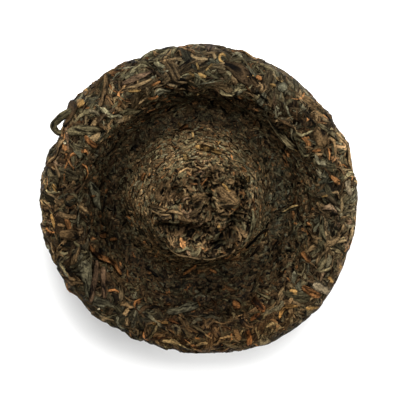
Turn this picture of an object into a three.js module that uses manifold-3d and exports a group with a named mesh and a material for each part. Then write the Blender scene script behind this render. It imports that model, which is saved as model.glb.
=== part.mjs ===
// Mushroom tuocha: whole tea leaves pressed into a thick round cap with a short stem, in one piece.
// Millimetres, +Z up. It lies on the crown of its cap, on a small flat spot round the origin, with
// the torn end of the stem up. Seen from above, +X is the right side and +Y the far side.
import * as THREE from 'three';
import { mergeVertices } from 'three/addons/utils/BufferGeometryUtils.js';
import Module from 'manifold-3d';

const wasm = await Module();
wasm.setup();

// ---- driving dimensions ----
const CROWN_FLAT_RADIUS = 14; // the spot it rests on
const CAP_RADIUS = 54; // at the cap's widest
const WIDEST_HEIGHT = 33; // of that circle above the table
const DOME_FULLNESS = 1.72; // superellipse exponent of the dome, 2 being a quarter ellipse
const RIM = { radius: 44.4, height: 41.7 }; // the rim's crest
const VALLEY = { radius: 28.8, height: 23.6 }; // the bottom of the ring between rim and stem
const STEM = { radius: 18.2, height: 44, lean: 1.4 }; // at the shoulder, leaning to +X

// How the pressed outline departs from a circle: waves round the cap, of amplitude and phase.
const OUTLINE_WAVES = [
  { waves: 2, amplitude: 0.88, phase: -89 },
  { waves: 3, amplitude: 0.31, phase: -155 },
  { waves: 4, amplitude: 0.29, phase: 134 },
  { waves: 5, amplitude: 0.28, phase: 61 },
  { waves: 6, amplitude: 0.16, phase: 120 },
];
const DENT = { turn: 153, reach: 9, depth: 1.9 }; // in the outline, where the loop stands out
const LUMP = { height: 0.35, length: 17 }; // broad unevenness of the pressing
const LEAF = { relief: 1, length: 12.5, width: 4.2 }; // pressed leaves, as relief
const LEAF_COUNT = 240; // leaves in the relief
const PROUD_LEAF_COUNT = 30; // leaves that stand out of it
const BODY_DETAIL = 16; // the body has 20 (BODY_DETAIL + 1)² faces

// ---- small helpers ----
const GOLDEN_ANGLE = Math.PI * (3 - Math.sqrt(5));
const radians = (degrees) => (degrees * Math.PI) / 180;
const smoothstep = THREE.MathUtils.smoothstep;
// A seeded draw between 0 and 1: number k of the series called salt.
const draw = (k, salt) => {
  const value = Math.sin(k * 12.9898 + salt * 78.233) * 43758.5453;
  return value - Math.floor(value);
};

// ---- the section of the cap and stem, turned about the Z axis ----
const SPLINE_STATIONS = [
  [CAP_RADIUS, WIDEST_HEIGHT],
  [CAP_RADIUS - 1, WIDEST_HEIGHT + 5.1],
  [RIM.radius + 4.8, RIM.height - 0.4],
  [RIM.radius, RIM.height],
  [RIM.radius - 5, RIM.height - 3.7],
  [VALLEY.radius + 6.6, VALLEY.height + 7.8],
  [VALLEY.radius + 3.2, VALLEY.height + 2],
  [VALLEY.radius, VALLEY.height],
  [VALLEY.radius - 3.2, VALLEY.height + 2],
  [STEM.radius + 4.4, STEM.height - 13.8],
  [STEM.radius + 1.8, STEM.height - 8.6],
  [STEM.radius, STEM.height - 4],
  [STEM.radius - 1.8, STEM.height - 1],
  [STEM.radius - 5.2, STEM.height],
  [STEM.radius - 11, STEM.height - 0.4],
  [0, STEM.height - 0.6],
];

function sectionPoints() {
  const flatSteps = 12;
  const domeSteps = 90;
  const splineSteps = 240;
  const points = [];
  for (let i = 0; i < flatSteps; i++) points.push([(CROWN_FLAT_RADIUS * i) / flatSteps, 0]);
  for (let i = 0; i < domeSteps; i++) {
    const turn = ((Math.PI / 2) * i) / domeSteps;
    const power = 2 / DOME_FULLNESS;
    points.push([
      CROWN_FLAT_RADIUS + (CAP_RADIUS - CROWN_FLAT_RADIUS) * Math.sin(turn) ** power,
      WIDEST_HEIGHT * (1 - Math.cos(turn) ** power),
    ]);
  }
  const spline = new THREE.SplineCurve(SPLINE_STATIONS.map(([r, z]) => new THREE.Vector2(r, z)));
  for (const point of spline.getPoints(splineSteps)) points.push([Math.max(point.x, 0), point.y]);
  return points;
}

// Mesh faces per square millimetre, relative: fine on the torn stem and round the valley's tight
// bend, coarse on the plain dome.
function fineness(radius, height) {
  if (height < WIDEST_HEIGHT - 8 && height < VALLEY.height - 1) return 0.55;
  if (height < WIDEST_HEIGHT && radius > RIM.radius) return 0.55;
  if (radius < STEM.radius) return 2.6;
  return radius < RIM.radius - 8 ? 1.9 : 1.1;
}

// Rows of the section: radius, height, arc length so far, share of the faces so far.
const SECTION = sectionPoints().map(([radius, height]) => ({ radius, height, arc: 0, share: 0 }));
for (let i = 1; i < SECTION.length; i++) {
  const [from, to] = [SECTION[i - 1], SECTION[i]];
  const step = Math.hypot(to.radius - from.radius, to.height - from.height);
  const middle = (from.radius + to.radius) / 2;
  to.arc = from.arc + step;
  to.share = from.share + step * middle * fineness(middle, (from.height + to.height) / 2);
}
const WHOLE_SHARE = SECTION[SECTION.length - 1].share;
for (const row of SECTION) row.share /= WHOLE_SHARE;

// The section at a value of its arc or share: radius, height, arc, share and the outward normal.
function sectionAt(key, value) {
  let low = 0;
  let high = SECTION.length - 1;
  while (high - low > 1) {
    const middle = (low + high) >> 1;
    if (SECTION[middle][key] > value) high = middle;
    else low = middle;
  }
  const [from, to] = [SECTION[low], SECTION[high]];
  const part = THREE.MathUtils.clamp((value - from[key]) / (to[key] - from[key]), 0, 1);
  const step = to.arc - from.arc;
  return {
    radius: from.radius + (to.radius - from.radius) * part,
    height: from.height + (to.height - from.height) * part,
    arc: from.arc + step * part,
    share: from.share + (to.share - from.share) * part,
    outward: (to.height - from.height) / step,
    upward: -(to.radius - from.radius) / step,
  };
}

const rowBeyond = (test) => SECTION.find(test);
const WIDEST_ARC = rowBeyond((row) => row.height >= WIDEST_HEIGHT).arc;
const VALLEY_ARC = rowBeyond((row) => row.arc > WIDEST_ARC && row.radius < VALLEY.radius).arc;
const SHOULDER_ARC = rowBeyond((row) => row.arc > VALLEY_ARC && row.radius < STEM.radius).arc;

// ---- the torn end of the stem: ridges (+) and hollows (-) along short lines, seen from above ----
const CREVICE = [[12.6, 9.4], [13.4, 2.2], [11.4, -4.4], [8, -9.2], [5.4, -13]];
const LIP = [[17.2, 1], [17.4, -5], [15, -10.4], [10.6, -14.4], [4.8, -16], [-3, -15.8], [-9, -13.2]];
const TORN_END = [
  { name: 'hollow under the ledge', line: [[-12.6, -6.4], [-6, -7], [0, -7.6]], width: 2.3, rise: -4.2 },
  { name: 'floor of the hollow', line: [[-8, -10], [0, -10.6]], width: 3.4, rise: -1.5 },
  { name: 'ledge', line: [[-13.4, -3], [-1, -3.4]], width: 2, rise: 1.1 },
  { name: 'crevice inside the lip', line: CREVICE, width: 1.7, rise: -3.4 },
  { name: 'lip', line: LIP, width: 1.8, rise: 1.3 },
  { name: 'round lump', line: [[12.8, -10.4], [13.2, -11]], width: 2.8, rise: 1.5 },
  { name: 'folded leaves', line: [[5.8, 1.4], [11.6, 2.8]], width: 2.4, rise: 1.5 },
  { name: 'crack by the folds', line: [[3.2, 12.4], [2, 5], [4.6, -1.6]], width: 1.2, rise: -2.2 },
  { name: 'middle mound', line: [[-2, 4.4], [-1, 0]], width: 3.6, rise: 0.9 },
  { name: 'dip behind the ledge', line: [[-8.8, 7], [-6.4, 1.6]], width: 1.7, rise: -1.4 },
  { name: 'far shoulder', line: [[-8, 11], [4, 15]], width: 3.2, rise: 0.6 },
];

function distanceToLine(x, y, line) {
  let nearest = Infinity;
  for (let i = 1; i < line.length; i++) {
    const [[ax, ay], [bx, by]] = [line[i - 1], line[i]];
    const [dx, dy] = [bx - ax, by - ay];
    const along = THREE.MathUtils.clamp(((x - ax) * dx + (y - ay) * dy) / (dx * dx + dy * dy), 0, 1);
    nearest = Math.min(nearest, Math.hypot(x - ax - dx * along, y - ay - dy * along));
  }
  return nearest;
}

const tornRise = (x, y) => TORN_END.reduce((sum, { line, width, rise }) => {
  return sum + rise * Math.exp(-((distanceToLine(x, y, line) / width) ** 2));
}, 0);

// ---- pressed leaves as relief ----
// Leaves lie every way on the cap. From the valley inwards they are smaller and flatter, and follow
// the swirl of the pressing.
const swirledAt = (arc) => smoothstep(arc, WIDEST_ARC + 24, VALLEY_ARC);
const reliefAt = (arc) => LEAF.relief * (1 - 0.65 * swirledAt(arc));

function leafAt(k, count) {
  const firstShare = sectionAt('arc', CROWN_FLAT_RADIUS + 5).share;
  const share = firstShare + (1 - firstShare) * ((k + 0.5) / count);
  const place = sectionAt('share', share);
  const swirled = swirledAt(place.arc);
  const free = Math.PI * draw(k, 1);
  const swirl = Math.PI / 2 + 0.7 * (draw(k, 2) - 0.5);
  const size = (0.75 + 0.6 * draw(k, 3)) * (1 - 0.45 * swirled);
  return {
    arc: place.arc,
    radius: Math.max(place.radius, 4),
    turn: k * GOLDEN_ANGLE,
    heading: free * (1 - swirled) + swirl * swirled,
    length: LEAF.length * size,
    width: LEAF.width * size,
  };
}
const LEAVES = Array.from({ length: LEAF_COUNT }, (_, k) => leafAt(k, LEAF_COUNT));

// The height of the leaf relief: each leaf is a rounded ridge, and the highest one shows.
function leafRelief(arc, turn) {
  let highest = 0;
  for (const leaf of LEAVES) {
    const up = arc - leaf.arc;
    if (Math.abs(up) > leaf.length) continue;
    const round = Math.atan2(Math.sin(turn - leaf.turn), Math.cos(turn - leaf.turn)) * leaf.radius;
    const along = (up * Math.cos(leaf.heading) + round * Math.sin(leaf.heading)) / (leaf.length / 2);
    const across = (round * Math.cos(leaf.heading) - up * Math.sin(leaf.heading)) / (leaf.width / 2);
    highest = Math.max(highest, 1 - along * along - across * across);
  }
  return reliefAt(arc) * (Math.sqrt(highest) - 0.5);
}

// ---- the surface: a point at an arc along the section and a turn about the axis ----
function surface(arc, turn, lift = 0) {
  const { radius, height, outward, upward } = sectionAt('arc', arc);
  const onStem = smoothstep(arc, VALLEY_ARC, SHOULDER_ARC);
  const onCap = smoothstep(radius, VALLEY.radius + 2, CAP_RADIUS);
  const offFlat = arc > WIDEST_ARC ? 1 : smoothstep(radius, CROWN_FLAT_RADIUS, CROWN_FLAT_RADIUS + 8);
  const spread = OUTLINE_WAVES.reduce((sum, { waves, amplitude, phase }) => {
    return sum + amplitude * Math.cos(waves * turn - radians(phase));
  }, 0);
  const fromDent = (1 - Math.cos(turn - radians(DENT.turn))) / (1 - Math.cos(radians(DENT.reach)));
  const dent = DENT.depth * Math.exp(-fromDent);
  const lumps = LUMP.height * Math.sin((2 * Math.PI * arc) / LUMP.length + 2 * Math.sin(3 * turn))
    * Math.cos(5 * turn + 1.3 * Math.sin(arc / 9));
  const proud = lift + offFlat * (lumps + leafRelief(arc, turn));
  const r = radius + onCap * (spread - dent) + outward * proud;
  const x = r * Math.cos(turn) + STEM.lean * onStem;
  const y = r * Math.sin(turn);
  const torn = smoothstep(arc, SHOULDER_ARC - 4, SHOULDER_ARC + 2) * tornRise(x, y);
  return new THREE.Vector3(x, y, Math.max(height + upward * proud + torn, 0));
}

// The same, from a place seen from above on the rim, in the valley or on the stem.
function placeFromAbove(x, y) {
  const radius = Math.hypot(x, y);
  const row = SECTION.find((item) => item.arc > WIDEST_ARC && item.radius <= radius);
  return { arc: row ? row.arc : WIDEST_ARC, turn: Math.atan2(y, x) };
}

// ---- solids ----
function solidOf(geometry) {
  geometry.deleteAttribute('normal');
  geometry.deleteAttribute('uv');
  const merged = mergeVertices(geometry, 1e-4);
  return new wasm.Manifold(new wasm.Mesh({
    numProp: 3,
    vertProperties: merged.attributes.position.array,
    triVerts: merged.index.array,
  }));
}

// The pressed body: a ball of even faces laid over the section, the stem's end at its top.
function pressedBody() {
  const ball = new THREE.IcosahedronGeometry(1, BODY_DETAIL);
  ball.rotateX(0.21);
  ball.rotateY(0.13);
  const position = ball.attributes.position;
  const direction = new THREE.Vector3();
  for (let i = 0; i < position.count; i++) {
    direction.fromBufferAttribute(position, i).normalize();
    const { arc } = sectionAt('share', (1 + direction.z) / 2);
    const point = surface(arc, Math.atan2(direction.y, direction.x));
    position.setXYZ(i, point.x, point.y, point.z);
  }
  return solidOf(ball);
}

// A leaf, flake or twig: a ball drawn out along a curve, flattened, lying on the normal given.
function leafSolid(points, normals, width, thickness, { around = 6, along = 6 } = {}) {
  const curve = new THREE.CatmullRomCurve3(points);
  const ball = new THREE.SphereGeometry(1, around, along);
  const position = ball.attributes.position;
  for (let i = 0; i < position.count; i++) {
    const [side, way, over] = [position.getX(i), position.getY(i), position.getZ(i)];
    const t = THREE.MathUtils.clamp(0.5 + way / 2, 0, 1);
    const centre = curve.getPoint(t);
    const tangent = curve.getTangent(t);
    const station = Math.min(Math.round(t * (normals.length - 1)), normals.length - 1);
    const across = new THREE.Vector3().crossVectors(tangent, normals[station]).normalize();
    const up = new THREE.Vector3().crossVectors(across, tangent).normalize();
    centre.addScaledVector(across, (side * width) / 2).addScaledVector(up, (over * thickness) / 2);
    position.setXYZ(i, centre.x, centre.y, Math.max(centre.z, 0.2));
  }
  return solidOf(ball);
}

function normalAt(arc, turn) {
  const { outward, upward } = sectionAt('arc', arc);
  return new THREE.Vector3(outward * Math.cos(turn), outward * Math.sin(turn), upward);
}

// Leaves that stand out of the relief, spread evenly over the cap and the stem.
const proudLeaf = { lift: 0.25, thickness: 2.2, stretch: 1.25, stations: 5 };

function proudLeafSolid(k) {
  const leaf = leafAt(k, PROUD_LEAF_COUNT);
  const points = [];
  const normals = [];
  for (let i = 0; i < proudLeaf.stations; i++) {
    const along = (i / (proudLeaf.stations - 1) - 0.5) * leaf.length * proudLeaf.stretch;
    const arc = leaf.arc + along * Math.cos(leaf.heading);
    const turn = leaf.turn + (along * Math.sin(leaf.heading)) / leaf.radius;
    points.push(surface(arc, turn, proudLeaf.lift));
    normals.push(normalAt(arc, turn));
  }
  return leafSolid(points, normals, leaf.width, proudLeaf.thickness);
}

// Twigs, stalks and large flakes, each along a short line seen from above: width, thickness, lift.
const TWIG = { width: 1.6, thickness: 1.5, lift: 0.5 };
const FLAKE = { width: 3, thickness: 1.2, lift: 0.5 };
const ROLLED_LEAF = { width: 2.4, thickness: 1.6, lift: 0.4 };
const BROAD_LEAF = { width: 4.2, thickness: 1.6, lift: 0.3 };
const EDGE_LEAF = { width: 2.4, thickness: 1.6, lift: 0.3 };
const LAID_PIECES = [
  { name: 'twig on the far left rim', kind: TWIG, line: [[-30.3, 44.5], [-31.7, 38.1], [-32.6, 35]] },
  { name: 'stalk on the far rim', kind: TWIG, line: [[-25.7, 42.3], [-20.5, 44.8], [-15.4, 47.1]] },
  { name: 'near left twig', kind: TWIG, line: [[-34.6, -18.4], [-35.6, -25], [-37.1, -32.5]] },
  { name: 'its neighbour', kind: TWIG, line: [[-32.6, -21], [-32.6, -26], [-32.2, -31.4]] },
  { name: 'leaf inside the loop', kind: EDGE_LEAF, line: [[-40.4, 34.8], [-43.4, 31.4], [-45, 27.8]] },
  { name: 'rolled leaf', kind: ROLLED_LEAF, line: [[-36.4, -15.8], [-40.4, -18.6], [-44.4, -20.6]] },
  { name: 'leaf by the valley', kind: ROLLED_LEAF, line: [[-38.1, 25.7], [-36, 22.8], [-33.9, 20.6]] },
  { name: 'near leaf', kind: ROLLED_LEAF, line: [[16.2, -41.8], [16.7, -45], [16.8, -48.6]] },
  { name: 'light flake on the right', kind: FLAKE, line: [[42.7, -12.9], [45.8, -10.4], [48.9, -5.4]] },
  { name: 'leaf at the right edge', kind: BROAD_LEAF, line: [[36.2, -26.8], [41, -29.6], [45.8, -30.6]] },
  { name: 'broad leaf on the right', kind: BROAD_LEAF, line: [[39, 28.6], [40, 25], [40.4, 21.4]] },
  { name: 'broad leaf on the left', kind: BROAD_LEAF, line: [[-44.2, 26.6], [-38, 27.4], [-32.9, 27.3]] },
  { name: 'flat leaf on the left', kind: BROAD_LEAF, line: [[-47, -7.6], [-43.6, -8.4], [-39.8, -9]] },
];

function laidSolid({ line, kind }) {
  const places = line.map(([x, y]) => placeFromAbove(x, y));
  return leafSolid(
    places.map(({ arc, turn }) => surface(arc, turn, kind.lift)),
    places.map(({ arc, turn }) => normalAt(arc, turn)),
    kind.width,
    kind.thickness,
  );
}

// A leaf that stands out of the left edge in a loop, both its ends pressed into the cap.
const LOOP = {
  upper: [[-41.6, 32.6], [-43.6, 31.9], [-45.2, 31.1], [-46.5, 30.2], [-47.6, 29.3], [-48.4, 28.2]],
  lower: [[-48.5, 27.1], [-48, 26.1], [-47, 25.4], [-45.4, 25], [-43.6, 24.8], [-42, 24.6]],
  middle: [-46, 27.4],
  height: 36.4,
  width: 2,
  thickness: 1.6,
};

function loopSolid() {
  const middle = new THREE.Vector3(...LOOP.middle, LOOP.height);
  const line = [...LOOP.upper, ...LOOP.lower];
  const points = line.map(([x, y]) => new THREE.Vector3(x, y, LOOP.height));
  const normals = points.map((point) => point.clone().sub(middle).normalize());
  return leafSolid(points, normals, LOOP.width, LOOP.thickness, { around: 6, along: 12 });
}

// ---- the whole ----
function fused() {
  let whole = pressedBody();
  for (let k = 0; k < PROUD_LEAF_COUNT; k++) whole = whole.add(proudLeafSolid(k));
  for (const piece of LAID_PIECES) whole = whole.add(laidSolid(piece));
  whole = whole.add(loopSolid());
  const bodies = whole.decompose();
  bodies.sort((a, b) => b.volume() - a.volume());
  return bodies[0];
}

function geometryOf(solid) {
  const { vertProperties, triVerts } = solid.getMesh();
  const geometry = new THREE.BufferGeometry();
  geometry.setAttribute('position', new THREE.BufferAttribute(vertProperties, 3));
  geometry.setIndex(new THREE.BufferAttribute(triVerts, 1));
  geometry.computeVertexNormals();
  return geometry;
}

const tuocha = new THREE.Group();
tuocha.name = 'mushroom_tuocha';
const pressedTea = new THREE.Mesh(
  geometryOf(fused()),
  new THREE.MeshStandardMaterial({ color: 0x403525, roughness: 0.7, metalness: 0 }),
);
pressedTea.name = 'pressed_tea';
tuocha.add(pressedTea);

export default tuocha;
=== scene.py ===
"""Looks of a mushroom tuocha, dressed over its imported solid.

Whole tea leaves are pressed into a thick round cap with a short stem, whose end is torn open. The
core repeats the solid's form, and the leaves lie on it, kind by kind: on the dome, on the rim, down
the rim's inner wall, in the valley, round the stem and on its torn end. Sizes are in millimetres
and are turned into metres where a mesh is made. Seen from above, +X is right and +Y the far side.
"""

import logging
import math
from dataclasses import dataclass, field, replace
from enum import Enum

import bpy
import numpy as np
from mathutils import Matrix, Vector


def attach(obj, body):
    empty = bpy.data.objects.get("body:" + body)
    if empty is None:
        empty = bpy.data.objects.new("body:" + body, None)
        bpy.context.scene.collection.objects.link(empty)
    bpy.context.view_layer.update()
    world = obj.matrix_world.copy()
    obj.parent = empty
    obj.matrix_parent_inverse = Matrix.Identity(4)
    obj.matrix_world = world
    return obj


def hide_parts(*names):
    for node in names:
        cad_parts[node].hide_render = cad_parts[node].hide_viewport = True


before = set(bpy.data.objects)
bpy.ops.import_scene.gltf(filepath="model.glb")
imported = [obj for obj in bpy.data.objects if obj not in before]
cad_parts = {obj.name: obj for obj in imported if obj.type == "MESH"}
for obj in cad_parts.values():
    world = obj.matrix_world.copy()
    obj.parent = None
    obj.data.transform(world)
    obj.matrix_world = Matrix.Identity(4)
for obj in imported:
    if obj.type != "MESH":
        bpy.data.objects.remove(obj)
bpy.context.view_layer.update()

log = logging.getLogger("tuocha")

MM = 0.001
BODY = "root"
NODE = "pressed_tea"
GOLDEN_ANGLE = math.pi * (3 - math.sqrt(5))
TINT_ATTRIBUTE = "tint"
LEAF_UV = "leaf_uv"
UV_UNIT = 10.0  # millimetres of leaf in one unit of its UV map
UNSTRETCHED = (0.0, 1.0)  # stands for the stretch of a kind whose leaves are placed one by one
LAST_CELL = 1.001  # how far places stay off a map's last row, so that there is one after them

Array = np.ndarray


def smoothstep(value: Array, low: float, high: float) -> Array:
    """Return 0 below low, 1 above high, and a smooth step between them."""
    part = np.clip((value - low) / (high - low), 0, 1)
    return part * part * (3 - 2 * part)


def draw(k: Array, series: int) -> Array:
    """Return a fixed draw between 0 and 1 for each number k of a series."""
    value = np.sin(k * 12.9898 + series * 78.233) * 43758.5453
    return value - np.floor(value)


def wrapped(turn: Array) -> Array:
    """Return a turn as the same one between minus half a turn and half a turn."""
    return (turn + np.pi) % (2 * np.pi) - np.pi


def bilinear(grid: Array, row: Array, column: Array) -> Array:
    """Read a grid between its cells. Its last column is followed by its first.

    Args:
        grid: The values, row by row.
        row: Fractional row of each place.
        column: Fractional column of each place.

    Returns:
        The value at each place.
    """
    r0, c0 = row.astype(int), column.astype(int) % grid.shape[1]
    c1 = (c0 + 1) % grid.shape[1]
    fr, fc = row - r0, column - np.floor(column)
    near = grid[r0, c0] * (1 - fc) + grid[r0, c1] * fc
    far = grid[r0 + 1, c0] * (1 - fc) + grid[r0 + 1, c1] * fc
    return near * (1 - fr) + far * fr


def unselect() -> None:
    """Deselect every object, so that an operator acts on a new one alone."""
    bpy.ops.object.select_all(action="DESELECT")


def read(items: bpy.types.bpy_prop_collection, name: str, kind: type = int, width: int = 1) -> Array:
    """Read one value, or a row of a width, from every item of a mesh.

    Args:
        items: The mesh's points, corners or faces.
        name: What to read.
        kind: Its type of number.
        width: How many numbers an item has.

    Returns:
        The values, in rows where the width is over 1.
    """
    values = np.zeros(len(items) * width, kind)
    items.foreach_get(name, values)
    return values.reshape(-1, width) if width > 1 else values


def write(items: bpy.types.bpy_prop_collection, name: str, values: Array, kind: type = np.float32) -> None:
    """Write one value or one row of values to every item of a mesh."""
    items.foreach_set(name, values.astype(kind).ravel())


def write_looks(mesh: bpy.types.Mesh, domain: str, tint: Array, uv: Array) -> None:
    """Give a mesh its tint and the place of each corner on its leaf.

    Args:
        mesh: The mesh.
        domain: POINT or CORNER, which the tint is given for.
        tint: Linear colours, along the last axis.
        uv: Places on the unrolled leaf for every corner, in units of UV_UNIT.
    """
    colour = mesh.color_attributes.new(TINT_ATTRIBUTE, "FLOAT_COLOR", domain)
    opaque = np.ones(tint.shape[:-1] + (1,))
    write(colour.data, "color", np.concatenate([np.clip(tint, 0, 1), opaque], axis=-1))
    while mesh.uv_layers:
        mesh.uv_layers.remove(mesh.uv_layers[0])
    write(mesh.uv_layers.new(name=LEAF_UV).data, "uv", uv)


# ---- colours ----


class Tint(Enum):
    """The colours of the leaves, as linear red, green and blue."""

    INK = (0.005, 0.0035, 0.002)
    UMBER = (0.0264, 0.0157, 0.0071)
    OLIVE = (0.0392, 0.0322, 0.0162)
    # Grey-green leaves; the grey is partly a painted sheen, the leaves' waxy gloss put into their colour.
    SLATE = (0.050, 0.045, 0.027)
    KHAKI = (0.075, 0.060, 0.030)
    BARK = (0.056, 0.0345, 0.0153)
    PLUM = (0.066, 0.040, 0.022)
    RUST = (0.105, 0.046, 0.0155)
    TAN = (0.095, 0.061, 0.028)
    GOLD = (0.135, 0.078, 0.026)
    FAWN = (0.105, 0.080, 0.047)
    STRAW = (0.190, 0.120, 0.046)
    PALE = (0.280, 0.230, 0.140)


@dataclass(frozen=True)
class TintMix:
    """How often each tint comes, and how far single leaves are lighter or darker.

    A leaf takes at most the share mixed_in of a second tint. The cap limits how far one is
    lighter, by the logarithm of its light.
    """

    weights: tuple[tuple[Tint, float], ...]
    spread: float
    brightness: float
    mixed_in: float = 0.35
    cap: float = 0.28

    def pick(self, count: int, rng: np.random.Generator) -> Array:
        """Draw the colours of some leaves.

        Args:
            count: How many leaves.
            rng: The seeded draws.

        Returns:
            One linear colour a leaf, as rows of red, green and blue.
        """
        colours = np.array([tint.value for tint, _ in self.weights])
        odds = np.array([weight for _, weight in self.weights])
        odds = odds / odds.sum()
        main = colours[rng.choice(len(odds), count, p=odds)]
        second = colours[rng.choice(len(odds), count, p=odds)]
        share = rng.uniform(0, self.mixed_in, (count, 1))
        light = np.exp(np.minimum(rng.normal(0, self.spread, (count, 1)), self.cap)) * self.brightness
        return (main * (1 - share) + second * share) * light


# ---- the form ----


@dataclass(frozen=True)
class FormSizes:
    """The driving dimensions of the solid, in millimetres and degrees.

    Rim, valley and stem are a radius and a height, a lump is a height and a length, and the
    outline's waves are how many go round, their height and where their crest is.
    """

    crown_flat_radius: float = 14.0
    cap_radius: float = 54.0
    widest_height: float = 33.0
    dome_fullness: float = 1.72
    rim: tuple[float, float] = (44.4, 41.7)
    valley: tuple[float, float] = (28.8, 23.6)
    stem: tuple[float, float] = (18.2, 44.0)
    stem_lean: float = 1.4
    lump: tuple[float, float] = (0.35, 17.0)
    leaf_relief: float = 1.0
    leaf_length: float = 12.5
    leaf_width: float = 4.2
    leaf_count: int = 240
    proud_leaf_count: int = 30
    leaf_fineness: tuple[float, ...] = (0.55, 1.1, 1.9, 2.6)
    outline_waves: tuple[tuple[int, float, float], ...] = (
        (2, 0.88, -89.0),
        (3, 0.31, -155.0),
        (4, 0.29, 134.0),
        (5, 0.28, 61.0),
        (6, 0.16, 120.0),
    )
    dent: tuple[float, float, float] = (153.0, 9.0, 1.9)  # turn, reach and depth, by the loop


Line = tuple[tuple[float, float], ...]  # places seen from above, in millimetres

CREVICE: Line = ((12.6, 9.4), (13.4, 2.2), (11.4, -4.4), (8, -9.2), (5.4, -13))
LIP: Line = ((17.2, 1), (17.4, -5), (15, -10.4), (10.6, -14.4), (4.8, -16), (-3, -15.8), (-9, -13.2))

# Ridges (+) and hollows (-) of the torn end along short lines: line, width and rise.
TORN_END: tuple[tuple[str, Line, float, float], ...] = (
    ("hollow under the ledge", ((-12.6, -6.4), (-6, -7), (0, -7.6)), 2.3, -4.2),
    ("floor of the hollow", ((-8, -10), (0, -10.6)), 3.4, -1.5),
    ("ledge", ((-13.4, -3), (-1, -3.4)), 2.0, 1.1),
    ("crevice inside the lip", CREVICE, 1.7, -3.4),
    ("lip", LIP, 1.8, 1.3),
    ("round lump", ((12.8, -10.4), (13.2, -11)), 2.8, 1.5),
    ("folded leaves", ((5.8, 1.4), (11.6, 2.8)), 2.4, 1.5),
    ("crack by the folds", ((3.2, 12.4), (2, 5), (4.6, -1.6)), 1.2, -2.2),
    ("middle mound", ((-2, 4.4), (-1, 0)), 3.6, 0.9),
    ("dip behind the ledge", ((-8.8, 7), (-6.4, 1.6)), 1.7, -1.4),
    ("far shoulder", ((-8, 11), (4, 15)), 3.2, 0.6),
)


@dataclass(frozen=True)
class Tone:
    """A stretch along a line seen from above where leaves are lighter or darker by painted light and shade,
    partly also by their own colour, and warmer or cooler.
    """

    name: str
    line: Line
    reach: float
    gain: float
    warmth: float = 0.0


NEAR_CREST: Line = ((-43, 8), (-41, -12), (-31, -29), (-15, -40), (2, -43), (19, -39))
NEAR_WALL: Line = ((-30, 17), (-34, 0), (-29, -18), (-17, -30), (0, -34), (17, -30), (26, -22))
FAR_WALL: Line = ((33, 8), (26, 22), (10, 32), (-10, 32), (-26, 22), (-32, 10))
FOOT: Line = (
    (29.5, 0), (25.5, 14.7), (14.7, 25.5), (0, 29), (-14.7, 25.5), (-25.5, 14.7), (-29.5, 0),
    (-25.5, -14.7), (-14.7, -25.5), (0, -31), (14.7, -25.5), (25.5, -14.7), (29.5, 0),
)

# Painted light and shade, partly also the leaves' own colour: darker at the foot of the wall and by the near
# crest, lighter on the edges and shoulders.
TONES: tuple[Tone, ...] = (
    Tone("near crest", NEAR_CREST, 5.5, 0.53, 0.04),
    Tone("near wall", NEAR_WALL, 5.5, 0.56),
    Tone("far wall", FAR_WALL, 4.0, 1.05),
    Tone("foot of the wall", FOOT, 3.2, 0.66),
    Tone("left foot of the wall", FOOT[4:8], 3.5, 0.66),
    Tone("near side of the stem's foot", ((-10, -24), (0, -26), (10, -24), (22, -14), (24, -2)), 3.0, 1.45),
    Tone("top of the near wall", ((-10, -37), (0, -38.5), (10, -37)), 3.0, 0.58),
    Tone("folds", ((8, 5), (12, 3)), 3.0, 1.55),
    Tone("beyond the folds", ((5, 10), (9, 12)), 2.5, 0.75),
    Tone("top of the ledge", ((-8, -3), (-2, 1)), 2.5, 0.72),
    Tone("floor of the hollow", ((-8, -10), (0, -11)), 2.5, 2.0),
    Tone("near left rim", ((-43, -18), (-38, -30)), 4.5, 0.62),
    Tone("near left foot", ((-31, -11), (-22, -24)), 4.0, 0.75),
    Tone("right wall", ((37, -8), (37, 8)), 3.5, 1.25),
    Tone("far rim", ((-25, 42), (0, 47), (25, 42)), 5.0, 1.0, -0.04),
    Tone("near rim", ((-12, -45), (0, -46), (14, -44), (28, -38)), 6.0, 1.1, 0.18),
    Tone("inner rim, near left", ((-30, -21), (-22, -29)), 3.5, 1.9),
    Tone("inner rim, far left", ((-33, 26), (-26, 33)), 4.0, 1.8),
    Tone("inner rim, near right", ((23, -29), (29, -23)), 3.5, 1.3),
    Tone("far flank", ((-13, 15), (-4, 19.5), (9, 18)), 3.5, 1.6),
    Tone("far foot", ((-20, 18), (-10, 25), (2, 27), (14, 23), (22, 14)), 3.2, 0.52),
    Tone("left shoulder", ((-18.5, 6), (-18, -2)), 3.5, 2.2),
    Tone("right shoulder", ((17, 9), (18, 2), (17.5, -4)), 2.5, 1.7, -0.05),
    Tone("near flank", ((-16, -18), (0, -23.5), (17, -18)), 3.5, 1.2, 0.08),
    Tone("near right flank", ((15, -17), (20, -11)), 3.5, 2.2),
    Tone("right foot", ((27, -10), (28, 8)), 5.0, 0.85, -0.12),
    Tone("mound", ((-5, 5.5), (1.5, 8.5)), 2.7, 1.75),
    Tone("by the mound", ((-3, 1), (3, 4.5)), 2.0, 0.9),
    Tone("ledge", ((-13, 3.5), (-8, 3)), 3.0, 1.5),
    Tone("far shoulder", ((-10, 13), (0, 15)), 3.5, 1.5),
    Tone("inside the lip", ((12.6, -2), (11, -7), (7, -11)), 2.5, 0.6),
    Tone("right crest", ((43, -7), (44, 8)), 4.0, 0.75, -0.06),
    Tone("far edge", ((-8, 49), (8, 49)), 4.0, 0.85, -0.06),
    Tone("right edge", ((51, -10), (52, 5), (47, 21)), 3.0, 2.2),
    Tone("left edge", ((-51, -8), (-52, 8)), 3.0, 2.2, 0.05),
)

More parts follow.
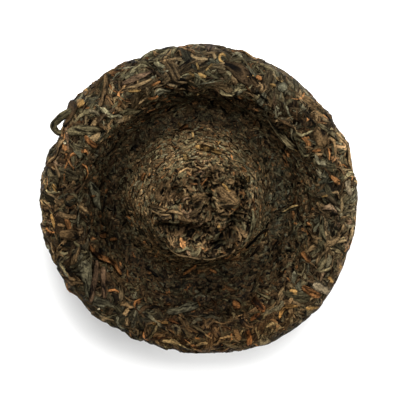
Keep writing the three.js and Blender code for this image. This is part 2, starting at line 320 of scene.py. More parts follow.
# Stretches of the cap where the leaves are pressed flatter than elsewhere: line and reach.
FLATTENED: tuple[tuple[str, Line, float], ...] = (
    ("near right edge", ((2, -49), (20, -46), (35, -37), (45, -25), (50, -12)), 7.0),
    ("right edge", ((52.5, -6), (53, 4)), 4.0),
    ("far right edge", ((26, 46), (33, 42)), 4.5),
    ("far edge", ((-2, 52), (6, 52)), 4.5),
)


def catmull_rom(points: Array, count: int) -> Array:
    """Draw the even Catmull-Rom spline through some points.

    Args:
        points: The points it runs through.
        count: How many steps to take along it.

    Returns:
        One point more than there are steps.
    """
    last = len(points) - 1
    at = np.arange(count + 1) / count * last
    k = np.minimum(at.astype(int), last - 1)
    t = (at - k)[:, None]
    p0, p1 = points[np.maximum(k - 1, 0)], points[k]
    p2, p3 = points[k + 1], points[np.minimum(k + 2, last)]
    v1, v2 = (p2 - p0) / 2, (p3 - p1) / 2
    cubic = (2 * p1 - 2 * p2 + v1 + v2) * t**3
    return cubic + (-3 * p1 + 3 * p2 - 2 * v1 - v2) * t**2 + v1 * t + p1


def distance_to_line(x: Array, y: Array, line: Line) -> Array:
    """Measure how far each place is from a line, seen from above.

    Args:
        x: The places' x.
        y: The places' y.
        line: The points that the line runs through.

    Returns:
        The distances.
    """
    nearest = np.full(np.shape(x), np.inf)
    for (ax, ay), (bx, by) in zip(line, line[1:]):
        dx, dy = bx - ax, by - ay
        along = np.clip(((x - ax) * dx + (y - ay) * dy) / (dx * dx + dy * dy), 0, 1)
        nearest = np.minimum(nearest, np.hypot(x - ax - dx * along, y - ay - dy * along))
    return nearest


def nearness(x: Array, y: Array, line: Line, reach: float) -> Array:
    """Return 1 on a line seen from above, fading to 0 beyond a reach."""
    return np.exp(-((distance_to_line(x, y, line) / reach) ** 2))


def along_path(line: Line, steps: int, part: Array, aside: Array) -> tuple[Array, Array]:
    """Follow the smooth path through a line, or a way beside it.

    Args:
        line: The points that the path runs through, seen from above.
        steps: How many steps the path takes.
        part: How far along the path each place is, from 0 to 1.
        aside: How far to the left of the path it is.

    Returns:
        x and y of each place.
    """
    path = catmull_rom(np.array(line, float), steps)
    at = np.linspace(0, 1, len(path))
    way = np.gradient(path, axis=0)
    way /= np.linalg.norm(way, axis=1, keepdims=True)
    x = np.interp(part, at, path[:, 0]) - np.interp(part, at, way[:, 1]) * aside
    y = np.interp(part, at, path[:, 1]) + np.interp(part, at, way[:, 0]) * aside
    return x, y


@dataclass
class PressedForm:
    """The pressed surface: an arc along its turned section and a turn about the axis give a point.

    Where leaves are pressed flattest, what lies under flat_above rises by flat_rise, and what
    stands over it loses the share flattening of its height, as the relief does.
    """

    sizes: FormSizes = field(default_factory=FormSizes)
    grid_step: float = 0.25
    grid_turns: int = 1440
    core_fineness: tuple[float, ...] = (0.33, 1.15, 1.05, 1.5)
    flat_above: float = -0.4
    flat_rise: float = 0.3
    flattening: float = 0.8
    torn_shade: float = 0.21
    swirl_start: float = 24.0
    chart_radius: float = 15.0
    crown_steps: int = 12
    dome_steps: int = 90
    station_steps: int = 240

    def __post_init__(self) -> None:
        """Measure the section and press the leaf relief into a grid."""
        self.radius, self.height = self._section()
        step = np.hypot(np.diff(self.radius), np.diff(self.height))
        middle = (self.radius[1:] + self.radius[:-1]) / 2
        middle_height = (self.height[1:] + self.height[:-1]) / 2
        self.arc = np.concatenate([[0], np.cumsum(step)])
        self.area = np.concatenate([[0], np.cumsum(2 * np.pi * middle * step)])
        zones = self._zones(middle, middle_height)
        self.share = self._shares(step * middle, zones, self.sizes.leaf_fineness)
        self.core_share = self._shares(step * middle, zones, self.core_fineness)
        self.outward = np.gradient(self.height, self.arc)
        self.upward = -np.gradient(self.radius, self.arc)
        self.length = float(self.arc[-1])
        self.widest_arc = self._first(self.height >= self.sizes.widest_height)
        beyond = self.arc > self.widest_arc
        on_cap = beyond & (self.radius > self.sizes.valley[0])
        self.crest_arc = float(self.arc[np.argmax(np.where(on_cap, self.height, 0))])
        self.valley_arc = self._first(beyond & (self.radius < self.sizes.valley[0]))
        self.shoulder_arc = self._first((self.arc > self.valley_arc) & (self.radius < self.sizes.stem[0]))
        self.relief = self._relief_grid()

    def _first(self, test: Array) -> float:
        """Return the arc of the first row of the section that passes a test."""
        return float(self.arc[np.argmax(test)])

    def _section(self) -> tuple[Array, Array]:
        """Draw the section from the crown to the stem's end, and return its radii and heights."""
        s = self.sizes
        (rim_r, rim_h), (valley_r, valley_h), (stem_r, stem_h) = s.rim, s.valley, s.stem
        stations = np.array([
            (s.cap_radius, s.widest_height),
            (s.cap_radius - 1, s.widest_height + 5.1),
            (rim_r + 4.8, rim_h - 0.4),
            (rim_r, rim_h),
            (rim_r - 5, rim_h - 3.7),
            (valley_r + 6.6, valley_h + 7.8),
            (valley_r + 3.2, valley_h + 2),
            (valley_r, valley_h),
            (valley_r - 3.2, valley_h + 2),
            (stem_r + 4.4, stem_h - 13.8),
            (stem_r + 1.8, stem_h - 8.6),
            (stem_r, stem_h - 4),
            (stem_r - 1.8, stem_h - 1),
            (stem_r - 5.2, stem_h),
            (stem_r - 11, stem_h - 0.4),
            (0, stem_h - 0.6),
        ])
        part = np.arange(self.crown_steps) / self.crown_steps
        flat = np.stack([part * s.crown_flat_radius, np.zeros(self.crown_steps)], axis=1)
        turn = np.arange(self.dome_steps) / self.dome_steps * np.pi / 2
        power = 2 / s.dome_fullness
        dome = np.stack([
            s.crown_flat_radius + (s.cap_radius - s.crown_flat_radius) * np.sin(turn) ** power,
            s.widest_height * (1 - np.cos(turn) ** power),
        ], axis=1)
        rows = np.concatenate([flat, dome, catmull_rom(stations, self.station_steps)])
        return np.maximum(rows[:, 0], 0), rows[:, 1]

    def _zones(self, radius: Array, height: Array) -> Array:
        """Sort the steps of the section into zones.

        Args:
            radius: Their radii.
            height: Their heights.

        Returns:
            The zone of each: 0 dome, 1 rim, 2 valley, 3 stem's end.
        """
        s = self.sizes
        dome = (height < s.widest_height - 8) & (height < s.valley[1] - 1)
        dome |= (height < s.widest_height) & (radius > s.rim[0])
        inner = np.where(radius < s.rim[0] - 8, 2, 1)
        return np.where(dome, 0, np.where(radius < s.stem[0], 3, inner))

    def _shares(self, area: Array, zones: Array, fineness: tuple[float, ...]) -> Array:
        """Return the share of even faces used up along the section, at a fineness for each zone."""
        share = np.cumsum(area * np.array(fineness)[zones])
        return np.concatenate([[0], share / share[-1]])

    def swirled(self, arc: Array) -> Array:
        """Return 0 on the cap and 1 from the valley inwards, where leaves are small and swirl."""
        return smoothstep(arc, self.widest_arc + self.swirl_start, self.valley_arc)

    def spread_leaves(self, count: int) -> dict[str, Array]:
        """Place large leaves evenly over the form, by the golden angle.

        Args:
            count: How many leaves.

        Returns:
            Their arc, radius, turn, heading, length and width.
        """
        s = self.sizes
        k = np.arange(count)
        first = np.interp(s.crown_flat_radius + 5, self.arc, self.share)
        arc = np.interp(first + (1 - first) * (k + 0.5) / count, self.share, self.arc)
        swirled = self.swirled(arc)
        free = np.pi * draw(k, 1)
        swirl = np.pi / 2 + 0.7 * (draw(k, 2) - 0.5)
        size = (0.75 + 0.6 * draw(k, 3)) * (1 - 0.45 * swirled)
        return {
            "arc": arc,
            "radius": np.maximum(np.interp(arc, self.arc, self.radius), 4),
            "turn": k * GOLDEN_ANGLE,
            "heading": free * (1 - swirled) + swirl * swirled,
            "length": s.leaf_length * size,
            "width": s.leaf_width * size,
        }

    def _relief_grid(self) -> Array:
        """Return the height of the pressed leaves over rows of arc and columns of turn."""
        arcs = np.arange(0, self.length + self.grid_step, self.grid_step)
        turns = np.arange(self.grid_turns) / self.grid_turns * 2 * np.pi
        highest = np.zeros((len(arcs), len(turns)))
        leaves = self.spread_leaves(self.sizes.leaf_count)
        for arc, radius, turn, heading, length, width in zip(*leaves.values()):
            rows = slice(*np.searchsorted(arcs, (arc - length, arc + length)))
            up = (arcs[rows] - arc)[:, None]
            offset = turns - turn
            side = (np.arctan2(np.sin(offset), np.cos(offset)) * radius)[None, :]
            along = (up * math.cos(heading) + side * math.sin(heading)) / (length / 2)
            across = (side * math.cos(heading) - up * math.sin(heading)) / (width / 2)
            highest[rows] = np.maximum(highest[rows], 1 - along**2 - across**2)
        relief = self.sizes.leaf_relief * (1 - 0.65 * self.swirled(arcs))[:, None]
        return relief * (np.sqrt(highest) - 0.5)

    def _relief_at(self, arc: Array, turn: Array) -> Array:
        """Return the relief at some places."""
        row = np.clip(arc / self.grid_step, 0, len(self.relief) - LAST_CELL)
        return bilinear(self.relief, row, (turn / (2 * np.pi) * self.grid_turns) % self.grid_turns)

    def torn_rise(self, x: Array, y: Array) -> Array:
        """Return the height of the torn end's ridges and hollows."""
        rise = np.zeros(np.shape(x))
        for _, line, width, height in TORN_END:
            rise += height * nearness(x, y, line, width)
        return rise

    def tone(self, points: Array, lightest: float = 9.0) -> Array:
        """Give the painted light and shade at each point of the upper side, partly also the leaves' own
        colour, with painted shade in the torn hollows.

        Args:
            points: Points in millimetres.
            lightest: The most that a tint may be lightened.

        Returns:
            Factors of red, green and blue along the last axis.
        """
        x, y, z = points[..., 0], points[..., 1], points[..., 2]
        light, warmth = np.ones(x.shape), np.zeros(x.shape)
        for tone in TONES:
            near = nearness(x, y, tone.line, tone.reach)
            light *= tone.gain**near
            warmth += tone.warmth * near
        on_end = 1 - smoothstep(np.hypot(x - self.sizes.stem_lean, y), 15, 19)
        # Painted shade: the deeper a torn hollow, the darker it is.
        light *= np.exp(self.torn_shade * on_end * np.minimum(self.torn_rise(x, y) + 0.5, 0))
        upper = z > self.sizes.valley[1] - 4
        light = np.minimum(np.where(upper, light, 1), lightest)
        warmth = np.where(upper, warmth, 0)
        return light[..., None] * np.stack([1 + warmth, np.ones(x.shape), 1 - warmth], axis=-1)

    def flatness(self, arc: Array, turn: Array) -> Array:
        """Say how flat the leaves are pressed.

        Args:
            arc: Arc of each place.
            turn: Turn of each place.

        Returns:
            1 where the cap's leaves are pressed flattest, and 0 where they lie as they fell.
        """
        radius = np.interp(arc, self.arc, self.radius)
        x, y = radius * np.cos(turn), radius * np.sin(turn)
        flat = np.zeros(np.shape(x))
        for _, line, reach in FLATTENED:
            flat = np.maximum(flat, nearness(x, y, line, reach))
        return flat * smoothstep(arc, self.widest_arc - 12, self.widest_arc - 4)

    def at(self, arc: Array, turn: Array, up: Array) -> Array:
        """Give the points of the surface, or above it.

        Args:
            arc: Arc along the section from the crown.
            turn: Angle about the axis.
            up: Height above the surface.

        Returns:
            Points, with x, y and z along the last axis.
        """
        s = self.sizes
        turn = np.where((arc < 0) | (arc > self.length), turn + np.pi, turn)
        arc = np.abs(arc)
        arc = np.where(arc > self.length, 2 * self.length - arc, arc)
        radius, height = np.interp(arc, self.arc, self.radius), np.interp(arc, self.arc, self.height)
        outward, upward = np.interp(arc, self.arc, self.outward), np.interp(arc, self.arc, self.upward)
        on_cap = smoothstep(radius, s.valley[0] + 2, s.cap_radius)
        off_flat = np.where(
            arc > self.widest_arc, 1, smoothstep(radius, s.crown_flat_radius, s.crown_flat_radius + 8)
        )
        spread = sum(a * np.cos(n * turn - math.radians(p)) for n, a, p in s.outline_waves)
        dent_turn, dent_reach, dent_depth = s.dent
        from_dent = (1 - np.cos(turn - math.radians(dent_turn))) / (1 - math.cos(math.radians(dent_reach)))
        spread = spread - dent_depth * np.exp(-from_dent)
        lump_height, lump_length = s.lump  # the lumps and the relief are the solid's own
        lumps = lump_height * np.sin(2 * np.pi * arc / lump_length + 2 * np.sin(3 * turn))
        lumps *= np.cos(5 * turn + 1.3 * np.sin(arc / 9))
        flat = self.flatness(arc, turn)
        over = up - self.flat_above
        lowered = up + flat * (self.flat_rise - self.flattening * over)
        up = np.where(over > 0, lowered, up + self.flat_rise * flat)
        proud = up + off_flat * (1 - self.flattening * flat) * (lumps + self._relief_at(arc, turn))
        r = radius + on_cap * spread + outward * proud
        x = r * np.cos(turn) + s.stem_lean * smoothstep(arc, self.valley_arc, self.shoulder_arc)
        y = r * np.sin(turn)
        z = height + upward * proud
        torn = smoothstep(arc, self.shoulder_arc - 4, self.shoulder_arc + 2)
        on_end = torn > 0
        z[on_end] += torn[on_end] * self.torn_rise(x[on_end], y[on_end])
        return np.stack([x, y, np.maximum(z, 0)], axis=-1)

    def chart(
        self, arc: Array, turn: Array, heading: Array, along: Array, across: Array
    ) -> tuple[Array, Array]:
        """Lay flat offsets on the surface, round a place on it.

        Args:
            arc: Arc of the place.
            turn: Turn of the place.
            heading: Angle of the along axis from the section towards the turn.
            along: Offset along the heading.
            across: Offset across it.

        Returns:
            The arc and turn of each offset point.
        """
        forward = along * np.cos(heading) - across * np.sin(heading)
        sideways = along * np.sin(heading) + across * np.cos(heading)
        radius = np.interp(arc, self.arc, self.radius)
        rolled_arc, rolled_turn = arc + forward, turn + sideways / np.maximum(radius, self.chart_radius)
        on_tip = arc > self.widest_arc
        x = radius + np.where(on_tip, -1, 1) * forward
        reach = np.hypot(x, sideways)
        tip = self.arc >= self.valley_arc
        crown = self.arc <= self.widest_arc
        tip_arc = np.interp(reach, self.radius[tip][::-1], self.arc[tip][::-1])
        crown_arc = np.interp(reach, self.radius[crown], self.arc[crown])
        flat_arc = np.where(on_tip, tip_arc, crown_arc)
        flat_turn = turn + np.arctan2(sideways, x)
        is_flat = radius < self.chart_radius
        return np.where(is_flat, flat_arc, rolled_arc), np.where(is_flat, flat_turn, rolled_turn)

    def seen_from_above(self, x: Array, y: Array) -> tuple[Array, Array]:
        """Find places on the upper side.

        Args:
            x: Their x, seen from above.
            y: Their y.

        Returns:
            Their arc and turn.
        """
        upper = self.arc >= self.widest_arc
        rows, arcs = self.radius[upper][::-1], self.arc[upper][::-1]
        arc = np.interp(np.hypot(x, y), rows, arcs)
        shift = self.sizes.stem_lean * smoothstep(arc, self.valley_arc, self.shoulder_arc)
        arc = np.interp(np.hypot(x - shift, y), rows, arcs)
        return arc, np.arctan2(y, x - shift)


# ---- leaves ----

# Waves along a leaf, from end to end: how fast they run, and how much of its phase they take.
UNEVEN_RATE, UNEVEN_PHASE = 4.5, 2.3
SWAY_RATE = 3.4
WAVE_RATE, WAVE_PHASE = 3.7, 1.7

# How round a leaf's back and its ends are: a lower power is flatter on top and steeper at the edge.
BACK_POWER, END_POWER, PRESSED_POWER = 0.7, 0.6, 0.4
PLEAT_IN_CREST = 0.7  # how strongly a pleat shows in the painted light and shade of a leaf
CREST_RANGE = (0.0, 0.75)  # how far up its back a leaf is painted dark as shade, and from where it is painted light
REACH = 0.55  # the part of a leaf's length within which it is looked for, a little over half


@dataclass(frozen=True)
class Blank:
    """A closed spindle along X that leaves are bent from: its points and faces."""

    sides: int
    rings: int
    top_heavy: float = 0.5

    def model(self) -> dict[str, Array]:
        """Model the spindle and read it.

        Returns:
            way, from end to end, angle round the spindle, and its corners and face starts.
        """
        unselect()
        bpy.ops.mesh.primitive_uv_sphere_add(segments=self.sides, ring_count=self.rings, radius=1)
        blank = bpy.context.object
        bpy.ops.object.mode_set(mode="EDIT")
        bpy.ops.mesh.select_all(action="SELECT")
        bpy.ops.transform.rotate(value=math.pi / 2, orient_axis="Y", center_override=(0, 0, 0))
        bpy.ops.mesh.normals_make_consistent(inside=False)
        bpy.ops.object.mode_set(mode="OBJECT")
        mesh = blank.data
        x, y, z = read(mesh.vertices, "co", float, 3).T
        corners, starts = read(mesh.loops, "vertex_index"), read(mesh.polygons, "loop_start")
        bpy.data.objects.remove(blank)
        bpy.data.meshes.remove(mesh)
        angle = np.arctan2(z, y)
        return {
            "way": np.clip(x, -1, 1),
            "angle": angle + self.top_heavy * np.cos(angle),
            "corners": corners,
            "starts": starts,
        }


@dataclass
class LeafShapes:
    """How each leaf of a batch is bent, one value a leaf, in millimetres and radians.

    What stands over pressed_above is pressed down to the share kept_height of its height.
    """

    length: Array
    width: Array
    thickness: Array
    lift: Array
    bend: Array
    sway: Array
    twist: Array
    twist_rate: Array
    ridges: Array
    ridge_depth: Array
    spiral: Array
    wave: Array
    dip: Array
    phase: Array
    fullness: float = 2.6
    unevenness: float = 0.22
    pressed_above: float = 0.1
    kept_height: float = 0.35

    def bent(self, blank: dict[str, Array]) -> dict[str, Array]:
        """Bend the spindle into every leaf.

        Args:
            blank: The spindle, from Blank.model.

        Returns:
            along, across and up of every point, leaf by leaf, with crest, its painted light and shade, and
            the unrolled width.
        """
        way, angle = blank["way"][None], blank["angle"][None]
        each = {name: value[:, None] for name, value in vars(self).items() if np.ndim(value)}
        swell = np.sqrt(np.maximum(1 - np.abs(way) ** self.fullness, 0))
        uneven = 1 + self.unevenness * np.sin(UNEVEN_RATE * way + UNEVEN_PHASE * each["phase"])
        place = np.cos(angle)
        pleat = np.cos(np.pi * each["ridges"] * place + each["phase"] + each["spiral"] * way)
        side = swell * uneven * place * each["width"] / 2
        rise = np.sign(np.sin(angle)) * np.abs(np.sin(angle)) ** BACK_POWER * swell**END_POWER
        rise = rise * (1 + each["ridge_depth"] * pleat) * each["thickness"] / 2
        twist = each["twist"] + each["twist_rate"] * way
        across = side * np.cos(twist) - rise * np.sin(twist)
        up = side * np.sin(twist) + rise * np.cos(twist)
        across = across + each["bend"] * each["length"] * (way**2 - 1 / 3)
        across = across + each["sway"] * each["length"] * np.sin(SWAY_RATE * way + each["phase"])
        crest = smoothstep(np.sin(angle) + PLEAT_IN_CREST * each["ridge_depth"] * pleat, *CREST_RANGE)
        up = up + each["lift"] + each["wave"] * np.sin(WAVE_RATE * way + WAVE_PHASE * each["phase"])
        up = up - each["dip"] * np.abs(way) ** 3
        over = up - self.pressed_above
        up = np.where(over > 0, self.pressed_above + self.kept_height * over, up)
        return {
            "along": way * each["length"] / 2,
            "across": across,
            "up": up,
            "crest": crest,
            "unrolled": angle / np.pi * each["width"] / 2,
        }

    def pressed(self, k: int, forward: Array, sideways: Array, heading: float) -> tuple[Array, Array]:
        """Give the height of one leaf of the batch pressed flat into a plane.

        Args:
            k: The leaf's number in the batch.
            forward: Offsets from its middle along the rows of the plane.
            sideways: Offsets from its middle along the columns.
            heading: Its angle from the rows towards the columns.

        Returns:
            Whether each place lies under it, and its height there.
        """
        along = (forward * math.cos(heading) + sideways * math.sin(heading)) / (self.length[k] / 2)
        across = sideways * math.cos(heading) - forward * math.sin(heading)
        across = across - self.bend[k] * self.length[k] * (along**2 - 1 / 3)
        across = across - self.sway[k] * self.length[k] * np.sin(SWAY_RATE * along + self.phase[k])
        uneven = 1 + self.unevenness * np.sin(UNEVEN_RATE * along + UNEVEN_PHASE * self.phase[k])
        across = across / (self.width[k] / 2 * uneven)
        span = np.clip(1 - np.abs(along) ** self.fullness, 0, 1)
        left = span - across**2
        pleat = np.cos(np.pi * self.ridges[k] * across + self.phase[k] + self.spiral[k] * along)
        bulge = np.clip(left, 0, 1) ** PRESSED_POWER * (1 + self.ridge_depth[k] * pleat)
        tilt = self.twist[k] * across * self.width[k] / 2
        return left > 0, self.lift[k] + self.thickness[k] * bulge + tilt


class Lay(Enum):
    """Which way the leaves of a kind lie."""

    ANY = "any way"
    SWIRL = "round the axis"
    MIXED = "any way on the cap, round the axis from the valley inwards"


@dataclass(frozen=True)
class LeafKind:
    """A kind of leaf scattered over a stretch of the form, with its ranges of size and bend."""

    name: str
    seed: int
    count: int
    arcs: tuple[float, float]
    length: tuple[float, float]
    width: tuple[float, float]
    thickness: tuple[float, float]
    lift: tuple[float, float]
    mix: TintMix
    lay: Lay = Lay.ANY
    stray: float = 0.5
    blank: Blank = Blank(8, 8)
    twist: float = 0.25
    spiral: float = 2.0
    ridges: tuple[float, ...] = (2.0, 3.0, 4.0)
    ridge_depth: tuple[float, float] = (0.05, 0.28)
    bend: float = 0.10
    sway: float = 0.035
    wave: float = 0.15
    dip: tuple[float, float] = (0.1, 0.7)
    turn_stray: float = 0.05

    def shapes(self, rng: np.random.Generator) -> LeafShapes:
        """Draw the size and bend of every leaf of the kind.

        Args:
            rng: The seeded draws.

        Returns:
            The shapes.
        """
        n = self.count
        return LeafShapes(
            length=rng.uniform(*self.length, n),
            width=rng.uniform(*self.width, n),
            thickness=rng.uniform(*self.thickness, n),
            lift=rng.uniform(*self.lift, n),
            bend=rng.normal(0, self.bend, n),
            sway=rng.normal(0, self.sway, n),
            twist=rng.normal(0, self.twist, n),
            twist_rate=rng.normal(0, self.twist * 1.5, n),
            ridges=rng.choice(self.ridges, n),
            ridge_depth=rng.uniform(*self.ridge_depth, n),
            spiral=rng.normal(0, self.spiral, n),
            wave=rng.normal(0, self.wave, n),
            dip=rng.uniform(*self.dip, n),
            phase=rng.uniform(0, 2 * np.pi, n),
        )

    def places(self, form: PressedForm, rng: np.random.Generator) -> tuple[Array, Array, Array]:
        """Spread the leaves evenly over their stretch, and turn each its own way.

        Args:
            form: The form they lie on.
            rng: The seeded draws.

        Returns:
            The arc, turn and heading of each leaf.
        """
        k = np.arange(self.count)
        low, high = np.interp(self.arcs, form.arc, form.area)
        part = (k + rng.uniform(0, 1, self.count)) / self.count
        arc = np.interp(low + (high - low) * part, form.area, form.arc)
        turn = k * GOLDEN_ANGLE + rng.normal(0, self.turn_stray, self.count)
        free = rng.uniform(0, np.pi, self.count)
        swirl = np.pi / 2 + rng.normal(0, self.stray, self.count)
        if self.lay is Lay.ANY:
            return arc, turn, free
        if self.lay is Lay.SWIRL:
            return arc, turn, swirl
        return arc, turn, np.where(rng.uniform(0, 1, self.count) < form.swirled(arc), swirl, free)


@dataclass
class PressedMap:
    """A plane map of the surface with leaves pressed into it, of which the highest shows.

    Rows run along the section and columns in a ring round the axis, or else along X and Y on the
    torn end. The scale is how many millimetres a column's unit is at each row.
    """

    rows: Array
    columns: Array
    scale: Array
    bed: Array
    ring: bool = False
    shift: tuple[float, float] = (7.3, 3.1)

    def __post_init__(self) -> None:
        """Start with the bare bed between the leaves, tinted ink-dark: dark crumb and painted shade in the
        gaps.
        """
        self.height = np.repeat(self.bed[:, None], len(self.columns), axis=1)
        self.leaf = np.zeros(self.height.shape, int)
        self.row, self.column, self.heading = [0.0], [0.0], [0.0]
        # The bed's ink tint is partly dark crumb and partly painted shade in the gaps between leaves.
        self.tint = [np.array(Tint.INK.value)]

    def press(self, shapes: LeafShapes, places: tuple[Array, Array, Array], tints: Array) -> None:
        """Press a batch of leaves into the map.

        Args:
            shapes: How each leaf is bent.
            places: The row, column and heading of each, in the map's own units.
            tints: One linear colour a leaf.
        """
        first = len(self.row)
        for k, (row, column, heading) in enumerate(zip(*places)):
            reach = REACH * shapes.length[k] + shapes.width[k]
            rows = slice(*np.searchsorted(self.rows, (row - reach, row + reach)))
            if rows.start == rows.stop:
                continue
            scale = self.scale[rows, None]
            half = reach / scale.min()
            for turn in self._turns(column, half):
                columns = slice(*np.searchsorted(self.columns, (turn - half, turn + half)))
                if columns.start == columns.stop:
                    continue
                forward = (self.rows[rows] - row)[:, None]
                sideways = (self.columns[columns] - turn)[None] * scale
                under, height = shapes.pressed(k, forward, sideways, heading)
                patch = self.height[rows, columns]
                won = under & (height > patch)
                patch[won] = height[won]
                self.leaf[rows, columns][won] = first + k
        self.row.extend(places[0])
        self.column.extend(places[1])
        self.heading.extend(places[2])
        self.tint.extend(tints)

    def _turns(self, column: float, half: float) -> tuple[float, ...]:
        """Return a column, and the same place a turn on where it reaches over the seam."""
        if not self.ring or abs(column) + half < np.pi:
            return (column,)
        return (column, column - math.copysign(2 * np.pi, column))

    def _cell(self, row: Array, column: Array) -> tuple[Array, Array]:
        """Return the fractional cell of each place."""
        r = (row - self.rows[0]) / (self.rows[1] - self.rows[0])
        c = (column - self.columns[0]) / (self.columns[1] - self.columns[0])
        return np.clip(r, 0, len(self.rows) - LAST_CELL), np.clip(c, 0, len(self.columns) - LAST_CELL)

    def height_at(self, row: Array, column: Array) -> Array:
        """Return the height at some places."""
        return bilinear(self.height, *self._cell(row, wrapped(column) if self.ring else column))

    def crease_at(self, row: Array, column: Array, reach: float) -> Array:
        """Measure how proud or sunken each place is.

        Args:
            row: Row of each place.
            column: Column of each place.
            reach: How far away the places round it are, in millimetres.

        Returns:
            How far each place stands above those round it.
        """
        scale = np.interp(row, self.rows, self.scale)
        around = [
            self.height_at(row + reach * math.cos(way), column + reach * math.sin(way) / scale)
            for way in np.arange(8) / 8 * 2 * np.pi
        ]
        return self.height_at(row, column) - np.mean(around, axis=0)

    def leaf_at(self, row: Array, column: Array) -> Array:
        """Return the number of the leaf that shows at each place."""
        r, c = self._cell(row, column)
        return self.leaf[np.round(r).astype(int), np.round(c).astype(int)]

    def on_leaf(self, leaf: Array, row: Array, column: Array) -> Array:
        """Find the places on leaves, each leaf shifted on from the last so that no two are alike.

        Args:
            leaf: Number of the leaf at each place.
            row: Row of each place.
            column: Column of each place.

        Returns:
            Offsets across and along the leaf, along the last axis.
        """
        away = column - np.array(self.column)[leaf]
        if self.ring:
            away = wrapped(away)
        forward = row - np.array(self.row)[leaf]
        sideways = away * np.interp(row, self.rows, self.scale)
        heading = np.array(self.heading)[leaf]
        along = forward * np.cos(heading) + sideways * np.sin(heading)
        across = sideways * np.cos(heading) - forward * np.sin(heading)
        across_shift, along_shift = self.shift
        return np.stack([across + across_shift * leaf, along + along_shift * leaf], axis=-1)


def piece_from_arrays(
    name: str, points: Array, corners: Array, starts: Array, tint: Array, uv: Array
) -> bpy.types.Object:
    """Make one smooth mesh object from arrays.

    Args:
        name: The object's name.
        points: Its points, in millimetres.
        corners: The point of each face corner.
        starts: The first corner of each face.
        tint: One linear colour a point.
        uv: Where each point lies on its unrolled leaf.

    Returns:
        The object, at the origin.
    """
    mesh = bpy.data.meshes.new(name)
    mesh.vertices.add(len(points))
    write(mesh.vertices, "co", points * MM)
    mesh.loops.add(len(corners))
    write(mesh.loops, "vertex_index", corners, np.int32)
    mesh.polygons.add(len(starts))
    write(mesh.polygons, "loop_start", starts, np.int32)
    mesh.update(calc_edges=True)
    mesh.validate()
    write_looks(mesh, "POINT", tint, uv[corners])
    write(mesh.polygons, "use_smooth", np.ones(len(starts)), bool)
    piece = bpy.data.objects.new(name, mesh)
    bpy.context.scene.collection.objects.link(piece)
    return piece


@dataclass
class LeafBed:
    """Leaves bent from one blank and laid on the form as one piece.

    A leaf is painted darkest at its edges and lighter along its back, and painted darker from the upper
    to the lower of the two heights buried: painted shade and light. The form's tones add their painted
    light and shade. Where the cap is pressed flattest, its colour is closer to the batch's mean, by the
    share calming.
    """

    form: PressedForm
    floor_gap: float = 0.05
    lightest: float = 9.0
    edge_light: float = 0.04
    crest_light: float = 1.05
    buried_light: float = 0.14
    buried: tuple[float, float] = (-1.05, 0.2)
    calming: float = 0.5
    uv_scatter: float = 40.0

    def lay(
        self,
        name: str,
        blank: Blank,
        shapes: LeafShapes,
        places: tuple[Array, Array, Array],
        colours: Array,
        rng: np.random.Generator,
    ) -> bpy.types.Object:
        """Lay a batch of leaves.

        Args:
            name: The piece's name.
            blank: The spindle they are bent from.
            shapes: How each is bent.
            places: The arc, turn and heading of each.
            colours: One linear colour a leaf.
            rng: The seeded draws.

        Returns:
            The piece.
        """
        spindle = blank.model()
        bent = shapes.bent(spindle)
        calm = self.calming * self.form.flatness(places[0], places[1])[:, None]
        colours = colours * (1 - calm) + colours.mean(axis=0) * calm
        arc, turn, heading = (value[:, None] for value in places)
        arcs, turns = self.form.chart(arc, turn, heading, bent["along"], bent["across"])
        points = self.form.at(arcs, turns, bent["up"])
        return self.join(name, spindle, bent, points, colours, rng)

    def join(
        self,
        name: str,
        spindle: dict[str, Array],
        bent: dict[str, Array],
        points: Array,
        colours: Array,
        rng: np.random.Generator,
    ) -> bpy.types.Object:
        """Join bent leaves, whose points are known, into one piece.

        Args:
            name: The piece's name.
            spindle: What they are bent from.
            bent: What LeafShapes.bent gave for them.
            points: Their points, leaf by leaf.
            colours: One linear colour a leaf.
            rng: The seeded draws.

        Returns:
            The piece.
        """
        count, size = points.shape[:2]
        corner_count = len(spindle["corners"])
        corners = (spindle["corners"][None] + np.arange(count)[:, None] * size).ravel()
        starts = (spindle["starts"][None] + np.arange(count)[:, None] * corner_count).ravel()
        # Painted shade and light: dark at a leaf's edges and where it is buried, lighter along its back.
        bare = smoothstep(bent["up"], *self.buried)
        shade = self.edge_light + self.crest_light * bent["crest"]
        shade = shade * (self.buried_light + (1 - self.buried_light) * bare)
        shade = shade[..., None] * self.form.tone(points, self.lightest)
        offset = rng.uniform(0, self.uv_scatter, (count, 1, 2))
        uv = np.stack([bent["unrolled"], bent["along"]], axis=-1) / UV_UNIT + offset
        points = points.reshape(-1, 3)
        points[:, 2] = np.maximum(points[:, 2], self.floor_gap)
        tint = (colours[:, None] * shade).reshape(-1, 3)
        return piece_from_arrays(name, points, corners, starts, tint, uv.reshape(-1, 2))

    def scatter(self, kind: LeafKind) -> bpy.types.Object:
        """Lay every leaf of a kind.

        Args:
            kind: The kind.

        Returns:
            The piece.
        """
        rng = np.random.default_rng(kind.seed)
        shapes = kind.shapes(rng)
        places = kind.places(self.form, rng)
        colours = kind.mix.pick(kind.count, rng)
        return self.lay(kind.name, kind.blank, shapes, places, colours, rng)


# ---- finishes ----


